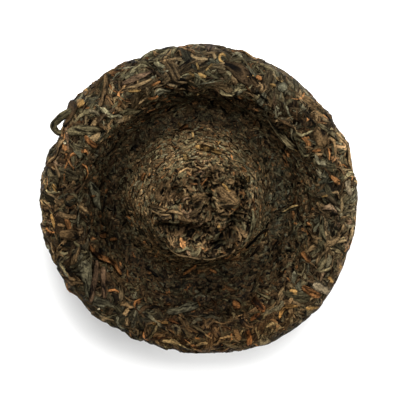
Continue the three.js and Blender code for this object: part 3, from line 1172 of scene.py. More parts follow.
@dataclass(frozen=True)
class LeafFinish:
    """Dry leaf: a tint from the mesh, pleats along the leaf, fine grain and a faint waxy gloss.

    Lengths are in millimetres. Streak and grain are the shares by which they darken the tint. The same
    noises raise the bump, so the tint is darker in their grooves and lighter on their ridges: painted
    shade and light, along with the leaf's own streaks.
    """

    name: str
    roughness: float = 0.5
    roughness_change: float = 0.14
    gloss_level: float = 0.02
    pleat_width: float = 0.65
    pleat_length: float = 5.0
    pleat_depth: float = 0.5
    streak: float = 0.95
    grain_size: float = 0.6
    grain_depth: float = 0.2
    grain: float = 0.4
    lightening: float = 0.6
    noise_middle: tuple[float, float] = (0.40, 0.60)

    def material(self) -> bpy.types.Material:
        """Build the node material, and return it."""
        made = bpy.data.materials.new(self.name)
        made.use_nodes = True
        tree = made.node_tree
        shader = tree.nodes["Principled BSDF"]
        shader.inputs["Specular IOR Level"].default_value = self.gloss_level
        pleats, grain = self._pleats(tree), self._grain(tree)
        colour = self._add(tree, "ShaderNodeAttribute", {})
        colour.attribute_name = TINT_ATTRIBUTE
        colour = colour.outputs["Color"]
        # Painted shade and light: the tint is darker in the noises' grooves and lighter on their ridges.
        for noise, amount in ((pleats, self.streak), (grain, self.grain)):
            colour = self._scaled(tree, colour, noise, amount)
        tree.links.new(colour, shader.inputs["Base Color"])
        gloss = self._add(tree, "ShaderNodeMapRange", {
            "Value": pleats,
            "To Min": self.roughness + self.roughness_change,
            "To Max": self.roughness - self.roughness_change,
        })
        tree.links.new(gloss.outputs["Result"], shader.inputs["Roughness"])
        fine = self._add(tree, "ShaderNodeBump", {
            "Height": grain, "Strength": 1.0, "Distance": self.grain_depth * MM,
        })
        coarse = self._add(tree, "ShaderNodeBump", {
            "Height": pleats, "Strength": 1.0, "Distance": self.pleat_depth * MM,
            "Normal": fine.outputs["Normal"],
        })
        tree.links.new(coarse.outputs["Normal"], shader.inputs["Normal"])
        return made

    @staticmethod
    def _add(tree: bpy.types.NodeTree, kind: str, inputs: dict[str, object]) -> bpy.types.Node:
        """Add a node.

        Args:
            tree: The material's nodes.
            kind: The node's type.
            inputs: What each of its inputs takes: a value, or the socket that leads to it.

        Returns:
            The node.
        """
        node = tree.nodes.new(kind)
        for name, value in inputs.items():
            if isinstance(value, bpy.types.NodeSocket):
                tree.links.new(value, node.inputs[name])
            else:
                node.inputs[name].default_value = value
        return node

    def _pleats(self, tree: bpy.types.NodeTree) -> bpy.types.NodeSocket:
        """Add the noise that is drawn out along each leaf, and return its value."""
        place = self._add(tree, "ShaderNodeUVMap", {})
        place.uv_map = LEAF_UV
        stretch = self._add(tree, "ShaderNodeMapping", {
            "Vector": place.outputs["UV"],
            "Scale": (UV_UNIT / self.pleat_width, UV_UNIT / self.pleat_length, 1),
        })
        return self._add(tree, "ShaderNodeTexNoise", {
            "Vector": stretch.outputs["Vector"],
            "Scale": 1.0, "Detail": 3.0, "Roughness": 0.6, "Distortion": 0.6,
        }).outputs["Fac"]

    def _grain(self, tree: bpy.types.NodeTree) -> bpy.types.NodeSocket:
        """Add the fine grain of the leaf, and return its value."""
        place = self._add(tree, "ShaderNodeTexCoord", {})
        return self._add(tree, "ShaderNodeTexNoise", {
            "Vector": place.outputs["Object"],
            "Scale": 1 / (self.grain_size * MM), "Detail": 2.0, "Roughness": 0.6,
        }).outputs["Fac"]

    def _scaled(
        self,
        tree: bpy.types.NodeTree,
        colour: bpy.types.NodeSocket,
        noise: bpy.types.NodeSocket,
        amount: float,
    ) -> bpy.types.NodeSocket:
        """Make a colour darker with a noise, and lighter by rather less.

        Args:
            tree: The material's nodes.
            colour: The colour.
            noise: The noise.
            amount: The share by which the colour is darkened most.

        Returns:
            The new colour.
        """
        low, high = self.noise_middle
        light = self._add(tree, "ShaderNodeMapRange", {
            "Value": noise, "From Min": low, "From Max": high,
            "To Min": 1 - amount, "To Max": 1 + self.lightening * amount,
        })
        scaled = tree.nodes.new("ShaderNodeVectorMath")
        scaled.operation = "SCALE"
        tree.links.new(colour, scaled.inputs[0])
        tree.links.new(light.outputs["Result"], scaled.inputs["Scale"])
        return scaled.outputs["Vector"]


# ---- sub-assemblies ----


@dataclass
class Core:
    """The pressed mass, with leaves pressed into its surface. It takes the solid's place.

    A crease is looked for at two reaches, and darkens the core by a strength for each: painted shade
    in the creases. Inside the rim that counts less, by fine_shade, or by end_shade on the torn end. The
    core is darkened to under_leaves where other leaves cover it, as painted shade under the leaves.
    Beds are the heights between the pressed leaves.
    The rim ends and the bed rises between two arcs past the crest, and the torn end begins between
    two past the shoulder.
    """

    form: PressedForm
    cuts: int = 23
    inset: float = 1.0
    map_step: float = 0.2
    map_turns: int = 1800
    end_reach: float = 23.0
    end_bed: float = -0.9
    rim_bed: float = -1.0
    inner_bed: float = -0.25
    creases: tuple[tuple[float, float], ...] = ((0.8, 5.0), (2.4, 0.9))
    shade_limits: tuple[float, float] = (0.08, 1.5)
    fine_shade: float = 0.3
    end_shade: float = 0.65
    under_leaves: float = 0.3
    rim_ends: tuple[float, float] = (5.0, 11.0)
    bed_rises: tuple[float, float] = (3.0, 12.0)
    end_begins: tuple[float, float] = (-0.5, 2.0)
    painted_end: float = 0.8
    least_radius: float = 8.0

    def build(self) -> bpy.types.Object:
        """Lay a ball of even faces over the section, press it and paint it, and return the core."""
        ball, end = self._maps()
        core = self._ball()
        points = read(core.data.vertices, "co", float, 3)
        points /= np.linalg.norm(points, axis=1, keepdims=True)
        arc = np.interp((1 + points[:, 2]) / 2, self.form.core_share, self.form.arc)
        turn = np.arctan2(points[:, 1], points[:, 0])
        x, y = self._from_above(arc, turn)
        ended = smoothstep(arc - self.form.shoulder_arc, *self.end_begins)
        rise = ball.height_at(arc, turn) * (1 - ended) + end.height_at(x, y) * ended
        up = (rise - self.inset) * (arc > self.form.sizes.crown_flat_radius + 3)
        surface = self.form.at(arc, turn, up)
        write(core.data.vertices, "co", surface * MM)
        core.data.update()
        # Painted shade: the core darkens in its creases, and on the rim, where other leaves cover it.
        depth = np.zeros(len(arc))
        for reach, strength in self.creases:
            depth += strength * ball.crease_at(arc, turn, reach) * (1 - ended)
            depth += strength * end.crease_at(x, y, reach) * ended
        on_rim = 1 - smoothstep(arc - self.form.crest_arc, *self.rim_ends)
        depth *= on_rim + (1 - on_rim) * (self.fine_shade * (1 - ended) + self.end_shade * ended)
        shade = np.clip(np.exp(depth), *self.shade_limits) * (1 - (1 - self.under_leaves) * on_rim)
        self._paint(core.data, (ball, end), arc, turn, shade[:, None] * self.form.tone(surface))
        bpy.ops.object.shade_smooth()
        return core

    def _ball(self) -> bpy.types.Object:
        """Model a ball of even triangles, and return it."""
        unselect()
        bpy.ops.mesh.primitive_ico_sphere_add(subdivisions=3, radius=1)
        ball = bpy.context.object
        ball.name = ball.data.name = "pressed_core"
        bpy.ops.object.mode_set(mode="EDIT")
        bpy.ops.mesh.select_all(action="SELECT")
        bpy.ops.mesh.subdivide(number_cuts=self.cuts)
        bpy.ops.object.mode_set(mode="OBJECT")
        return ball

    def _from_above(self, arc: Array, turn: Array) -> tuple[Array, Array]:
        """Return x and y of places on the section, before it is lumped or leans."""
        radius = np.interp(arc, self.form.arc, self.form.radius)
        return radius * np.cos(turn), radius * np.sin(turn)

    def _maps(self) -> tuple[PressedMap, PressedMap]:
        """Press the leaves into a map of the turned surface and one of the torn end."""
        form = self.form
        rows = np.arange(form.sizes.crown_flat_radius, form.length, self.map_step)
        columns = (np.arange(self.map_turns + 1) / self.map_turns * 2 - 1) * np.pi
        scale = np.maximum(np.interp(rows, form.arc, form.radius), self.least_radius)
        inner = smoothstep(rows - form.crest_arc, *self.bed_rises)
        bed = self.rim_bed + (self.inner_bed - self.rim_bed) * inner
        ball = PressedMap(rows, columns, scale, bed, ring=True)
        for kind in pressed_kinds(form):
            rng = np.random.default_rng(kind.seed)
            shapes = kind.shapes(rng)
            arc, turn, heading = kind.places(form, rng)
            ball.press(shapes, (arc, wrapped(turn), heading), kind.mix.pick(kind.count, rng))
        across = np.arange(-self.end_reach, self.end_reach, self.map_step)
        end = PressedMap(across, across, np.ones(len(across)), np.full(len(across), self.end_bed))
        for kind in end_kinds():
            rng = np.random.default_rng(kind.seed)
            shapes = kind.shapes(rng)
            reach = self.end_reach * np.sqrt(rng.uniform(0, 1, kind.count))
            turn = np.arange(kind.count) * GOLDEN_ANGLE
            heading = rng.uniform(0, np.pi, kind.count)
            place = (reach * np.cos(turn), reach * np.sin(turn), heading)
            end.press(shapes, place, kind.mix.pick(kind.count, rng))
        return ball, end

    def _paint(
        self, mesh: bpy.types.Mesh, maps: tuple[PressedMap, PressedMap], arc: Array, turn: Array, shade: Array
    ) -> None:
        """Give each face the tint of the leaf it lies on, and its place on that leaf as UV.

        Args:
            mesh: The core's mesh, all triangles.
            maps: The map of the turned surface, and that of the torn end.
            arc: The arc of each point.
            turn: The turn of each point.
            shade: Factors of red, green and blue at each point: painted shade in the creases and under the
                leaves, with the tones' painted light and shade.
        """
        ball, end = maps
        corners = read(mesh.loops, "vertex_index").reshape(-1, 3)
        x, y = (value[corners] for value in self._from_above(arc, turn))
        middle_x, middle_y, middle_arc = x.mean(axis=1), y.mean(axis=1), arc[corners].mean(axis=1)
        on_end = (middle_arc > self.form.shoulder_arc + self.painted_end)[:, None, None]
        leaf = ball.leaf_at(middle_arc, np.arctan2(middle_y, middle_x))
        end_leaf = end.leaf_at(middle_x, middle_y)
        uv = np.where(
            on_end,
            end.on_leaf(end_leaf[:, None].repeat(3, 1), x, y),
            ball.on_leaf(leaf[:, None].repeat(3, 1), arc[corners], turn[corners]),
        )
        tint = np.where(on_end[:, 0], np.array(end.tint)[end_leaf], np.array(ball.tint)[leaf])
        write_looks(mesh, "CORNER", tint[:, None] * shade[corners], uv / UV_UNIT)


class Tints:
    """The mixes of tints that the kinds of leaf draw from."""

    RIM = TintMix((
        (Tint.UMBER, 0.22), (Tint.OLIVE, 0.27), (Tint.SLATE, 0.15), (Tint.BARK, 0.16), (Tint.KHAKI, 0.05),
        (Tint.PLUM, 0.03), (Tint.RUST, 0.03), (Tint.TAN, 0.05), (Tint.INK, 0.03),
    ), spread=0.36, brightness=1.76)
    STRIPS = TintMix((
        (Tint.UMBER, 0.24), (Tint.OLIVE, 0.22), (Tint.SLATE, 0.11), (Tint.BARK, 0.20), (Tint.KHAKI, 0.05),
        (Tint.RUST, 0.055), (Tint.TAN, 0.055), (Tint.INK, 0.04),
    ), spread=0.36, brightness=1.76)
    WALL = TintMix((
        (Tint.UMBER, 0.46), (Tint.OLIVE, 0.24), (Tint.BARK, 0.12), (Tint.RUST, 0.03), (Tint.SLATE, 0.05),
        (Tint.INK, 0.10),
    ), spread=0.18, brightness=1.14)
    STEM = TintMix((
        (Tint.UMBER, 0.32), (Tint.OLIVE, 0.34), (Tint.BARK, 0.18), (Tint.SLATE, 0.07),
        (Tint.RUST, 0.03), (Tint.TAN, 0.06),
    ), spread=0.22, brightness=1.38)
    TORN = TintMix((
        (Tint.UMBER, 0.32), (Tint.PLUM, 0.02), (Tint.OLIVE, 0.30), (Tint.BARK, 0.25), (Tint.TAN, 0.03),
        (Tint.RUST, 0.03), (Tint.INK, 0.05),
    ), spread=0.20, brightness=1.12)
    TIPS = TintMix(((Tint.RUST, 0.5), (Tint.GOLD, 0.2), (Tint.TAN, 0.3)), spread=0.25, brightness=1.05)


def pressed_kinds(form: PressedForm) -> tuple[LeafKind, ...]:
    """List the leaves pressed into the core, from the dome to the stem.

    Args:
        form: The form, whose arcs bound their stretches.

    Returns:
        The kinds.
    """
    first = form.sizes.crown_flat_radius + 1
    shared = dict(bend=0.08, wave=0.0, dip=(0.0, 0.0))
    return (
        LeafKind(
            "pressed_leaves", 21, 1150, (first, form.crest_arc + 7), (8, 16), (2.4, 5.2), (0.5, 0.9),
            (-0.9, 0.2), Tints.RIM, ridge_depth=(0.1, 0.3), twist=0.1, **shared,
        ),
        LeafKind(
            "pressed_strips", 22, 3000, (form.widest_arc - 22, form.crest_arc + 8), (3, 9), (0.8, 2.0),
            (0.4, 0.8), (-0.8, 0.1), Tints.RIM, ridges=(1.0, 2.0), ridge_depth=(0.0, 0.25), twist=0.2,
            **shared,
        ),
        LeafKind(
            "pressed_bits", 23, 7000, (form.crest_arc + 4, form.valley_arc + 3), (1, 3.6), (0.45, 1.2),
            (0.1, 0.3), (-0.3, 0.05), Tints.WALL, lay=Lay.MIXED, ridges=(1.0, 2.0),
            ridge_depth=(0.0, 0.3), twist=0.1, **shared,
        ),
        LeafKind(
            "pressed_fibres", 24, 6000, (form.valley_arc - 2, form.shoulder_arc + 3), (1.2, 4), (0.4, 1.0),
            (0.15, 0.4), (-0.35, 0.1), Tints.STEM, lay=Lay.SWIRL, ridges=(1.0, 2.0),
            ridge_depth=(0.0, 0.3), twist=0.1, **shared,
        ),
    )


def end_kinds() -> tuple[LeafKind, ...]:
    """List the leaves pressed into the torn end of the stem."""
    shared = dict(bend=0.3, sway=0.08, wave=0.0, dip=(0.0, 0.0))
    return (
        LeafKind(
            "end_lumps", 30, 60, UNSTRETCHED, (4.5, 9), (2.4, 4.4), (0.4, 0.8), (-1.9, 0.3), Tints.TORN,
            ridges=(5.0, 7.0), ridge_depth=(0.15, 0.4), twist=0.35, **shared,
        ),
        LeafKind(
            "end_leaves", 31, 260, UNSTRETCHED, (2.5, 6.5), (1.0, 2.2), (0.3, 0.6), (-1.7, 0.4), Tints.TORN,
            ridges=(3.0, 4.0), ridge_depth=(0.2, 0.5), twist=0.45, **shared,
        ),
        LeafKind(
            "end_bits", 32, 1500, UNSTRETCHED, (1.0, 3.5), (0.4, 0.9), (0.12, 0.28), (-1.2, 0.25),
            Tints.TORN, ridges=(1.0, 2.0), ridge_depth=(0.1, 0.4), twist=0.5, **shared,
        ),
    )


def leaf_kinds(form: PressedForm) -> tuple[LeafKind, ...]:
    """List the whole leaves that lie on the core, from the dome over the rim to the torn end.

    Args:
        form: The form, whose arcs bound their stretches.

    Returns:
        The kinds.
    """
    crown = 4.0
    return (
        LeafKind(
            "dome_leaves", 11, 1100, (crown, form.widest_arc - 4), (7, 15), (2.2, 4.6), (0.7, 1.2),
            (-1.3, -0.6), Tints.RIM, blank=Blank(8, 7),
        ),
        LeafKind(
            "rim_leaves", 12, 560, (form.widest_arc - 8, form.crest_arc + 8), (6, 13), (1.8, 3.7),
            (0.9, 1.6), (-1.4, -0.6), Tints.RIM, blank=Blank(12, 8), bend=0.2, sway=0.07,
            ridges=(3.0, 4.0, 5.0), ridge_depth=(0.15, 0.4),
        ),
        LeafKind(
            "rim_strips", 17, 1300, (form.widest_arc - 8, form.crest_arc + 8), (4, 11), (0.7, 1.8),
            (0.7, 1.4), (-1.2, -0.5), Tints.STRIPS, twist=0.3, bend=0.25, sway=0.08,
        ),
        LeafKind(
            "wall_bits", 13, 120, (form.crest_arc + 5, form.valley_arc + 3), (3, 7), (0.7, 1.6),
            (0.4, 0.7), (-1.1, -0.75), Tints.WALL, lay=Lay.MIXED, blank=Blank(6, 6),
        ),
        LeafKind(
            "stem_fibres", 14, 700, (form.valley_arc - 2, form.shoulder_arc + 4), (1.4, 4.2),
            (0.35, 0.9), (0.35, 0.6), (-1.0, -0.6), Tints.STEM, lay=Lay.SWIRL, blank=Blank(6, 5),
        ),
        LeafKind(
            "torn_leaves", 15, 80, (form.shoulder_arc - 1, form.length - 0.5), (2, 5), (0.5, 1.1),
            (0.4, 0.7), (-1.2, -0.45), Tints.TORN, twist=0.5, spiral=3.5, blank=Blank(9, 9), wave=0.3,
            bend=0.12,
        ),
        LeafKind(
            "tea_tips", 16, 110, (crown, form.length - 1), (1.8, 5.0), (0.6, 1.4), (0.5, 0.9),
            (-0.9, -0.5), Tints.TIPS, blank=Blank(6, 6),
        ),
    )


def proud_kind(count: int) -> LeafKind:
    """Describe the leaves that stand out of the cap. Their places and widths are the solid's own."""
    return LeafKind(
        "proud_leaves", 18, count, UNSTRETCHED, (8, 16), (3, 5), (1.0, 1.5), (-0.5, -0.1), Tints.RIM,
        blank=Blank(14, 10), ridges=(3.0, 4.0, 5.0), ridge_depth=(0.15, 0.35), dip=(0.6, 1.0), bend=0.0,
    )


@dataclass(frozen=True)
class Strip:
    """A twig, leaf or tip laid along a short line: its tint, width, thickness and lift."""

    tint: Tint
    width: float
    line: Line
    thickness: float = 0.9
    lift: float = -0.1
    ridges: float = 2.0
    ridge_depth: float = 0.15


def twigs() -> tuple[Strip, ...]:
    """List the twigs, stalks and rolled leaves that stand out of the rim."""
    stalk = dict(thickness=1.5, lift=0.25, ridges=3.0, ridge_depth=0.1)
    rolled = dict(thickness=1.3, lift=0.1, ridges=3.0, ridge_depth=0.3)
    return (
        Strip(Tint.UMBER, 2.4, ((-40.4, 34.8), (-43.4, 31.4), (-45, 27.8)), 1.6, 0.7),
        Strip(Tint.BARK, 1.6, ((-30.3, 44.5), (-31.7, 38.1), (-32.6, 35)), **stalk),
        Strip(Tint.PLUM, 1.6, ((-25.7, 42.3), (-20.5, 44.8), (-15.4, 47.1)), **stalk),
        Strip(Tint.PLUM, 2.2, ((-34.6, -18.4), (-35.6, -25), (-37.1, -32.5)), 1.8, 0.6),
        Strip(Tint.PLUM, 1.9, ((-32.6, -21), (-32.6, -26), (-32.2, -31.4)), 1.8, 0.4),
        Strip(Tint.RUST, 1.3, ((-36.9, -13.1), (-33.9, -17.3), (-30.5, -20.7), (-26.2, -25.1)), 1.8, 0.9),
        Strip(Tint.TAN, 1.2, ((-25.9, 40.3), (-20.6, 42.3), (-15.8, 44.6)), **rolled),
        Strip(Tint.OLIVE, 1.3, ((-36.9, -15.5), (-40.4, -18.2), (-44, -20.3)), **rolled),
        Strip(Tint.OLIVE, 1.3, ((-36.2, -17.1), (-39.8, -19.4), (-43.3, -21.4)), **rolled),
        Strip(Tint.RUST, 2.0, ((-38.1, 25.7), (-36, 22.8), (-33.9, 20.6)), **rolled),
        Strip(Tint.RUST, 2.0, ((16.2, -41.8), (16.7, -45), (16.8, -48.6)), **rolled),
        Strip(Tint.UMBER, 1.1, ((-7.2, 47.9), (-3.5, 50.4)), **rolled),
        Strip(Tint.KHAKI, 1.3, ((39.3, 29.6), (43, 26.6), (46.3, 23.1)), **rolled),
        Strip(Tint.TAN, 1.1, ((37, 33), (38.8, 33.4), (39, 30.2)), **rolled),
    )


def flakes() -> tuple[Strip, ...]:
    """List the broad pressed leaves and light flakes that show on the rim."""
    flake = dict(thickness=0.9, lift=0.15, ridges=2.0, ridge_depth=0.2)
    broad = dict(thickness=1.1, lift=0.05, ridges=4.0, ridge_depth=0.3)
    return (
        Strip(Tint.KHAKI, 3.4, ((-44.2, 26.6), (-38, 27.4), (-32.9, 27.3)), **broad),
        Strip(Tint.BARK, 5.0, ((39, 28.6), (40, 25), (40.4, 21.4)), **broad),
        Strip(Tint.BARK, 4.2, ((-47, -7.6), (-43.6, -8.4), (-39.8, -9)), **broad),
        Strip(Tint.FAWN, 3.6, ((37.6, -25.6), (41.4, -28), (45, -30.4)), **broad),
        Strip(Tint.RUST, 2.8, ((33.8, -27), (37, -28.6), (40.4, -30.6)), **broad),
        Strip(Tint.BARK, 2.6, ((12, -42), (13.4, -45.8)), **broad),
        Strip(Tint.BARK, 2.6, ((4.6, -41.8), (6.8, -45.4)), **broad),
        Strip(Tint.RUST, 2.6, ((18, -33), (21.8, -35.6)), **broad),
        Strip(Tint.SLATE, 3.0, ((25.7, 42.3), (29, 42.1)), **broad),
        Strip(Tint.TAN, 2.6, ((42.7, -12.9), (45.8, -10.4), (48.9, -5.4)), **flake),
        Strip(Tint.BARK, 1.3, ((44.9, -10.6), (50.5, -8.4)), **flake),
        Strip(Tint.FAWN, 1.8, ((49.1, 9.8), (50.8, 4.2)), **flake),
        Strip(Tint.TAN, 2.0, ((-48.3, 3.8), (-46.2, 1.8)), **flake),
        Strip(Tint.TAN, 2.0, ((-47.4, -0.6), (-44, -2.2), (-40.7, -3)), **flake),
        Strip(Tint.GOLD, 1.9, ((-40.5, 34.3), (-38.1, 36.5)), **flake),
        Strip(Tint.GOLD, 1.6, ((-38.5, 38.2), (-36.6, 38.9)), **flake),
        Strip(Tint.RUST, 2.0, ((11.4, -35.5), (13.8, -35.1)), **flake),
    )


def bright_tips() -> tuple[Strip, ...]:
    """List the golden, orange and straw-coloured tips, from the far rim round to the near one, with some
    other strips and a near-black strip of painted shade along a crack.
    """
    lines = {
        Tint.GOLD: (
            (1.0, (-23.6, 40), (-19.3, 40.6)), (1.0, (-1.5, 49.7), (-0.6, 47.2)),
            (1.0, (1.4, 47.2), (3.7, 49.4)), (1.5, (-3.9, 46.6), (-1.8, 45.3)),
            (1.5, (-1.2, 46), (1.8, 44.9)), (1.3, (14.7, 45.2), (17.6, 45.8)),
            (1.5, (22.9, 43.1), (25, 42.5)), (0.8, (41.1, 4.1), (42.9, 4.9)),
            (1.6, (42.9, -23.3), (44.9, -26.7)), (1.3, (29.8, -28.4), (32.4, -28.6)),
            (1.4, (26.2, -37.6), (27.4, -34.6), (29.8, -33.4), (33, -32.8)), (1.7, (35, -34), (39.8, -35.2)),
            (1.6, (47.2, -20), (48.2, -22.6)),
            (1.2, (-16.2, -40.5), (-14.3, -40.9)), (1.2, (-13, -40.1), (-10.6, -40.4)),
            (1.2, (-48.7, 9.2), (-47.5, 6.3)), (1.2, (-50, -1.3), (-48.8, -6.4)),
            (1.0, (8.2, 51.4), (7.0, 52.1), (5.9, 51.3), (6.3, 50.1), (7.4, 50)),
            (1.4, (5.6, -5.3), (6.6, -5.2)), (1.2, (15.9, 11.2), (16.1, 9.5)),
            (1.1, (-1.6, 20.3), (3, 19.8), (7.3, 18.4)), (1.2, (7.1, 9.7), (10.6, 5.9)),
        ),
        Tint.RUST: (
            (1.3, (-17.3, 36.7), (-13.8, 38.4)), (1.0, (-11.6, 41.9), (-9, 40.6)),
            (1.0, (-13.1, 43.6), (-16.3, 42)), (1.3, (18.1, 45.8), (20.1, 44.6)),
            (1.3, (37, 19.5), (39.9, 20.5)), (2.0, (34.4, -16.4), (37.2, -18.8)),
            (1.3, (16.9, -38.8), (20.4, -36.7)),
            (1.0, (-10.7, -39.4), (-6.9, -41.1)), (0.9, (-0.2, -35.3), (0.5, -36.7)),
            (1.9, (-33, -11.5), (-31.3, -12.7)), (1.0, (-30.3, -14.3), (-27.6, -15.1)),
            (1.0, (-36.1, 2.4), (-33.2, 1.4)), (1.0, (4.1, -26.9), (6.6, -28.2)),
            (1.0, (-5.1, -28.9), (-0.6, -24.4)), (1.6, (-6.7, 24.1), (-3.5, 25.4)),
            (1.0, (-19.8, 7.3), (-18.5, 10.3)),
        ),
        Tint.STRAW: (
            (1.6, (-5.7, 17.5), (-4, 17.8)), (0.9, (-2.3, 23.5), (-2.1, 22.3)),
            (1.0, (25, 45.1), (27.7, 43.9)), (1.0, (-51.4, 8.6), (-51.2, 6.3)),
            (0.8, (-1.1, 38.1), (-0.3, 37.9)), (0.9, (28, 26.2), (28.8, 25.8)),
            (0.6, (28.9, -6.3), (31.2, -4.3), (33.5, -2.5)),
        ),
        # A near-black strip along the crack by the stem: painted shade in the crack.
        Tint.INK: (
            (0.8, (16.5, -18.6), (18.8, -16), (22.1, -13.2), (24.8, -12.4)),
        ),
        Tint.KHAKI: (
            (1.3, (17.6, 0.6), (17.9, -4.5), (16.4, -8.6), (13.6, -12)),
        ),
        Tint.UMBER: (
            (1.8, (-51.4, 7.4), (-53.4, 6.6)), (1.6, (-50.4, -9.2), (-52.3, -8.8)),
        ),
        Tint.PALE: (
            (1.0, (-34.9, -35), (-34.1, -35.2)), (1.4, (-46.8, 23.6), (-45.6, 23.4)),
        ),
        Tint.TAN: (
            (1.0, (-9.8, 44.2), (-4.3, 42.3)), (1.0, (-3.2, 52.3), (-2, 50.9), (2.4, 50.8)),
            (1.0, (-11.5, -13), (-8.4, -14.8), (-3.5, -16)),
            (0.8, (-4.5, -15.9), (0.5, -16.6), (6, -16.2)), (0.8, (4.5, -16.4), (9, -15), (11.6, -13)),
            (0.9, (-17.2, 1.5), (-14, 1.3), (-11.2, 0.5)), (1.0, (-13.4, 0.2), (-9.5, 0), (-5.8, -0.9)),
            (0.7, (-16.4, -0.1), (-13, -0.8), (-10, -0.9)), (1.3, (6.6, 1.7), (13.3, 2.5)),
            (0.8, (-48.6, 16), (-46.3, 11.6), (-47.2, 7.3)), (0.8, (43.8, -4.8), (45.7, -4.2)),
        ),
    }
    return tuple(Strip(tint, row[0], row[1:]) for tint, rows in lines.items() for row in rows)


@dataclass
class LaidStrips:
    """Twigs, flakes and tips that lie where they show, one piece for each kind."""

    form: PressedForm
    blank: Blank = Blank(8, 9)
    seed: int = 41
    path_steps: int = 40
    dip: float = 0.4
    fullness: float = 4.0
    unevenness: float = 0.1

    def build(self) -> list[bpy.types.Object]:
        """Lay the three kinds."""
        kinds = {"twigs": twigs(), "flakes": flakes(), "bright_tips": bright_tips()}
        return [self.lay(name, strips) for name, strips in kinds.items()]

    def lay(self, name: str, strips: tuple[Strip, ...]) -> bpy.types.Object:
        """Bend a spindle along each strip's line, as one piece.

        Args:
            name: The piece's name.
            strips: What it holds.

        Returns:
            The piece.
        """
        rng = np.random.default_rng(self.seed)
        count = len(strips)
        own = {
            key: np.array([getattr(strip, key) for strip in strips])
            for key in ("width", "thickness", "lift", "ridges", "ridge_depth")
        }
        shapes = LeafShapes(
            **own,
            length=np.array([np.hypot(*np.diff(strip.line, axis=0).T).sum() for strip in strips]),
            bend=np.zeros(count),
            sway=rng.normal(0, 0.015, count),
            twist=rng.normal(0, 0.15, count),
            twist_rate=rng.normal(0, 0.2, count),
            spiral=rng.normal(0, 0.6, count),
            wave=rng.normal(0, 0.08, count),
            dip=np.full(count, self.dip),
            phase=rng.uniform(0, 2 * np.pi, count),
            fullness=self.fullness,
            unevenness=self.unevenness,
        )
        spindle = self.blank.model()
        bent = shapes.bent(spindle)
        part = np.clip(0.5 + spindle["way"] / 2, 0, 1)
        x, y = np.zeros(bent["along"].shape), np.zeros(bent["along"].shape)
        for k, strip in enumerate(strips):
            x[k], y[k] = along_path(strip.line, self.path_steps, part, bent["across"][k])
        arc, turn = self.form.seen_from_above(x, y)
        points = self.form.at(arc, turn, bent["up"])
        tints = np.array([strip.tint.value for strip in strips])
        return LeafBed(self.form, lightest=1.0).join(name, spindle, bent, points, tints, rng)


@dataclass
class EdgeLoop:
    """A leaf that stands out of the left edge in a loop, both its ends pressed into the cap.

    Waves run along it and ridges round it, each with a depth and a rate.
    """

    line: Line = (
        (-42, 32.8), (-43.6, 32.2), (-45.2, 31.1), (-46.5, 30.1), (-47.6, 29.2), (-48.3, 28.2),
        (-48.4, 27.2), (-48, 26.3), (-47.2, 25.6), (-46, 25.3), (-44.8, 25.2), (-43, 25.2),
    )
    height: float = 36.4
    width: float = 2.0
    thickness: float = 2.1
    taper: float = 0.25
    bluntness: float = 16.0
    waves: tuple[float, float] = (0.12, 11.0)
    ridges: tuple[float, float] = (0.14, 4.0)
    blank: Blank = Blank(12, 30, top_heavy=0.0)
    path_steps: int = 60
    seed: int = 43
    lift: float = 0.5
    crest: float = 0.75
    leaf_length: float = 16.0
    brightness: float = 1.3

    def build(self, form: PressedForm) -> bpy.types.Object:
        """Bend a spindle into the loop.

        Args:
            form: The form that its ends are pressed into.

        Returns:
            The piece.
        """
        spindle = self.blank.model()
        way, angle = spindle["way"], spindle["angle"]
        (wave_depth, wave_rate), (ridge_depth, ridge_rate) = self.waves, self.ridges
        swell = (1 - np.abs(way) ** self.bluntness) ** 0.5 * (1 - self.taper * way)
        uneven = 1 + wave_depth * np.sin(wave_rate * way + angle) + ridge_depth * np.cos(ridge_rate * angle)
        side = swell * uneven * np.sin(angle) * self.thickness / 2
        tall = swell * uneven * np.cos(angle) * self.width / 2
        x, y = along_path(self.line, self.path_steps, np.clip(0.5 + way / 2, 0, 1), -side)
        points = np.stack([x, y, self.height + tall], axis=-1)[None]
        bent = {
            "along": way[None] * self.leaf_length / 2,
            "up": np.full((1, len(side)), self.lift),
            "crest": np.full((1, len(side)), self.crest),
            "unrolled": (angle / np.pi)[None] * self.width,
        }
        rng = np.random.default_rng(self.seed)
        tint = np.array([Tint.OLIVE.value]) * self.brightness
        return LeafBed(form, lightest=1.0).join("edge_loop", spindle, bent, points, tint, rng)


@dataclass
class Leaves:
    """All the scattered leaves, one piece for each kind."""

    form: PressedForm
    proud_stretch: float = 1.25

    def build(self) -> list[bpy.types.Object]:
        """Lay every kind."""
        bed = LeafBed(self.form)
        return [bed.scatter(kind) for kind in leaf_kinds(self.form)] + [self.proud()]

    def proud(self) -> bpy.types.Object:
        """Lay the cap's large leaves where they stand out of the solid too, and return the piece."""
        spread = self.form.spread_leaves(self.form.sizes.proud_leaf_count)
        on_cap = self.form.swirled(spread["arc"]) < 0.5
        spread = {name: value[on_cap] for name, value in spread.items()}
        kind = proud_kind(int(on_cap.sum()))
        rng = np.random.default_rng(kind.seed)
        shapes = replace(
            kind.shapes(rng), length=spread["length"] * self.proud_stretch, width=spread["width"]
        )
        places = (spread["arc"], spread["turn"], spread["heading"])
        colours = kind.mix.pick(kind.count, rng)
        return LeafBed(self.form).lay(kind.name, kind.blank, shapes, places, colours, rng)


# ---- studio ----


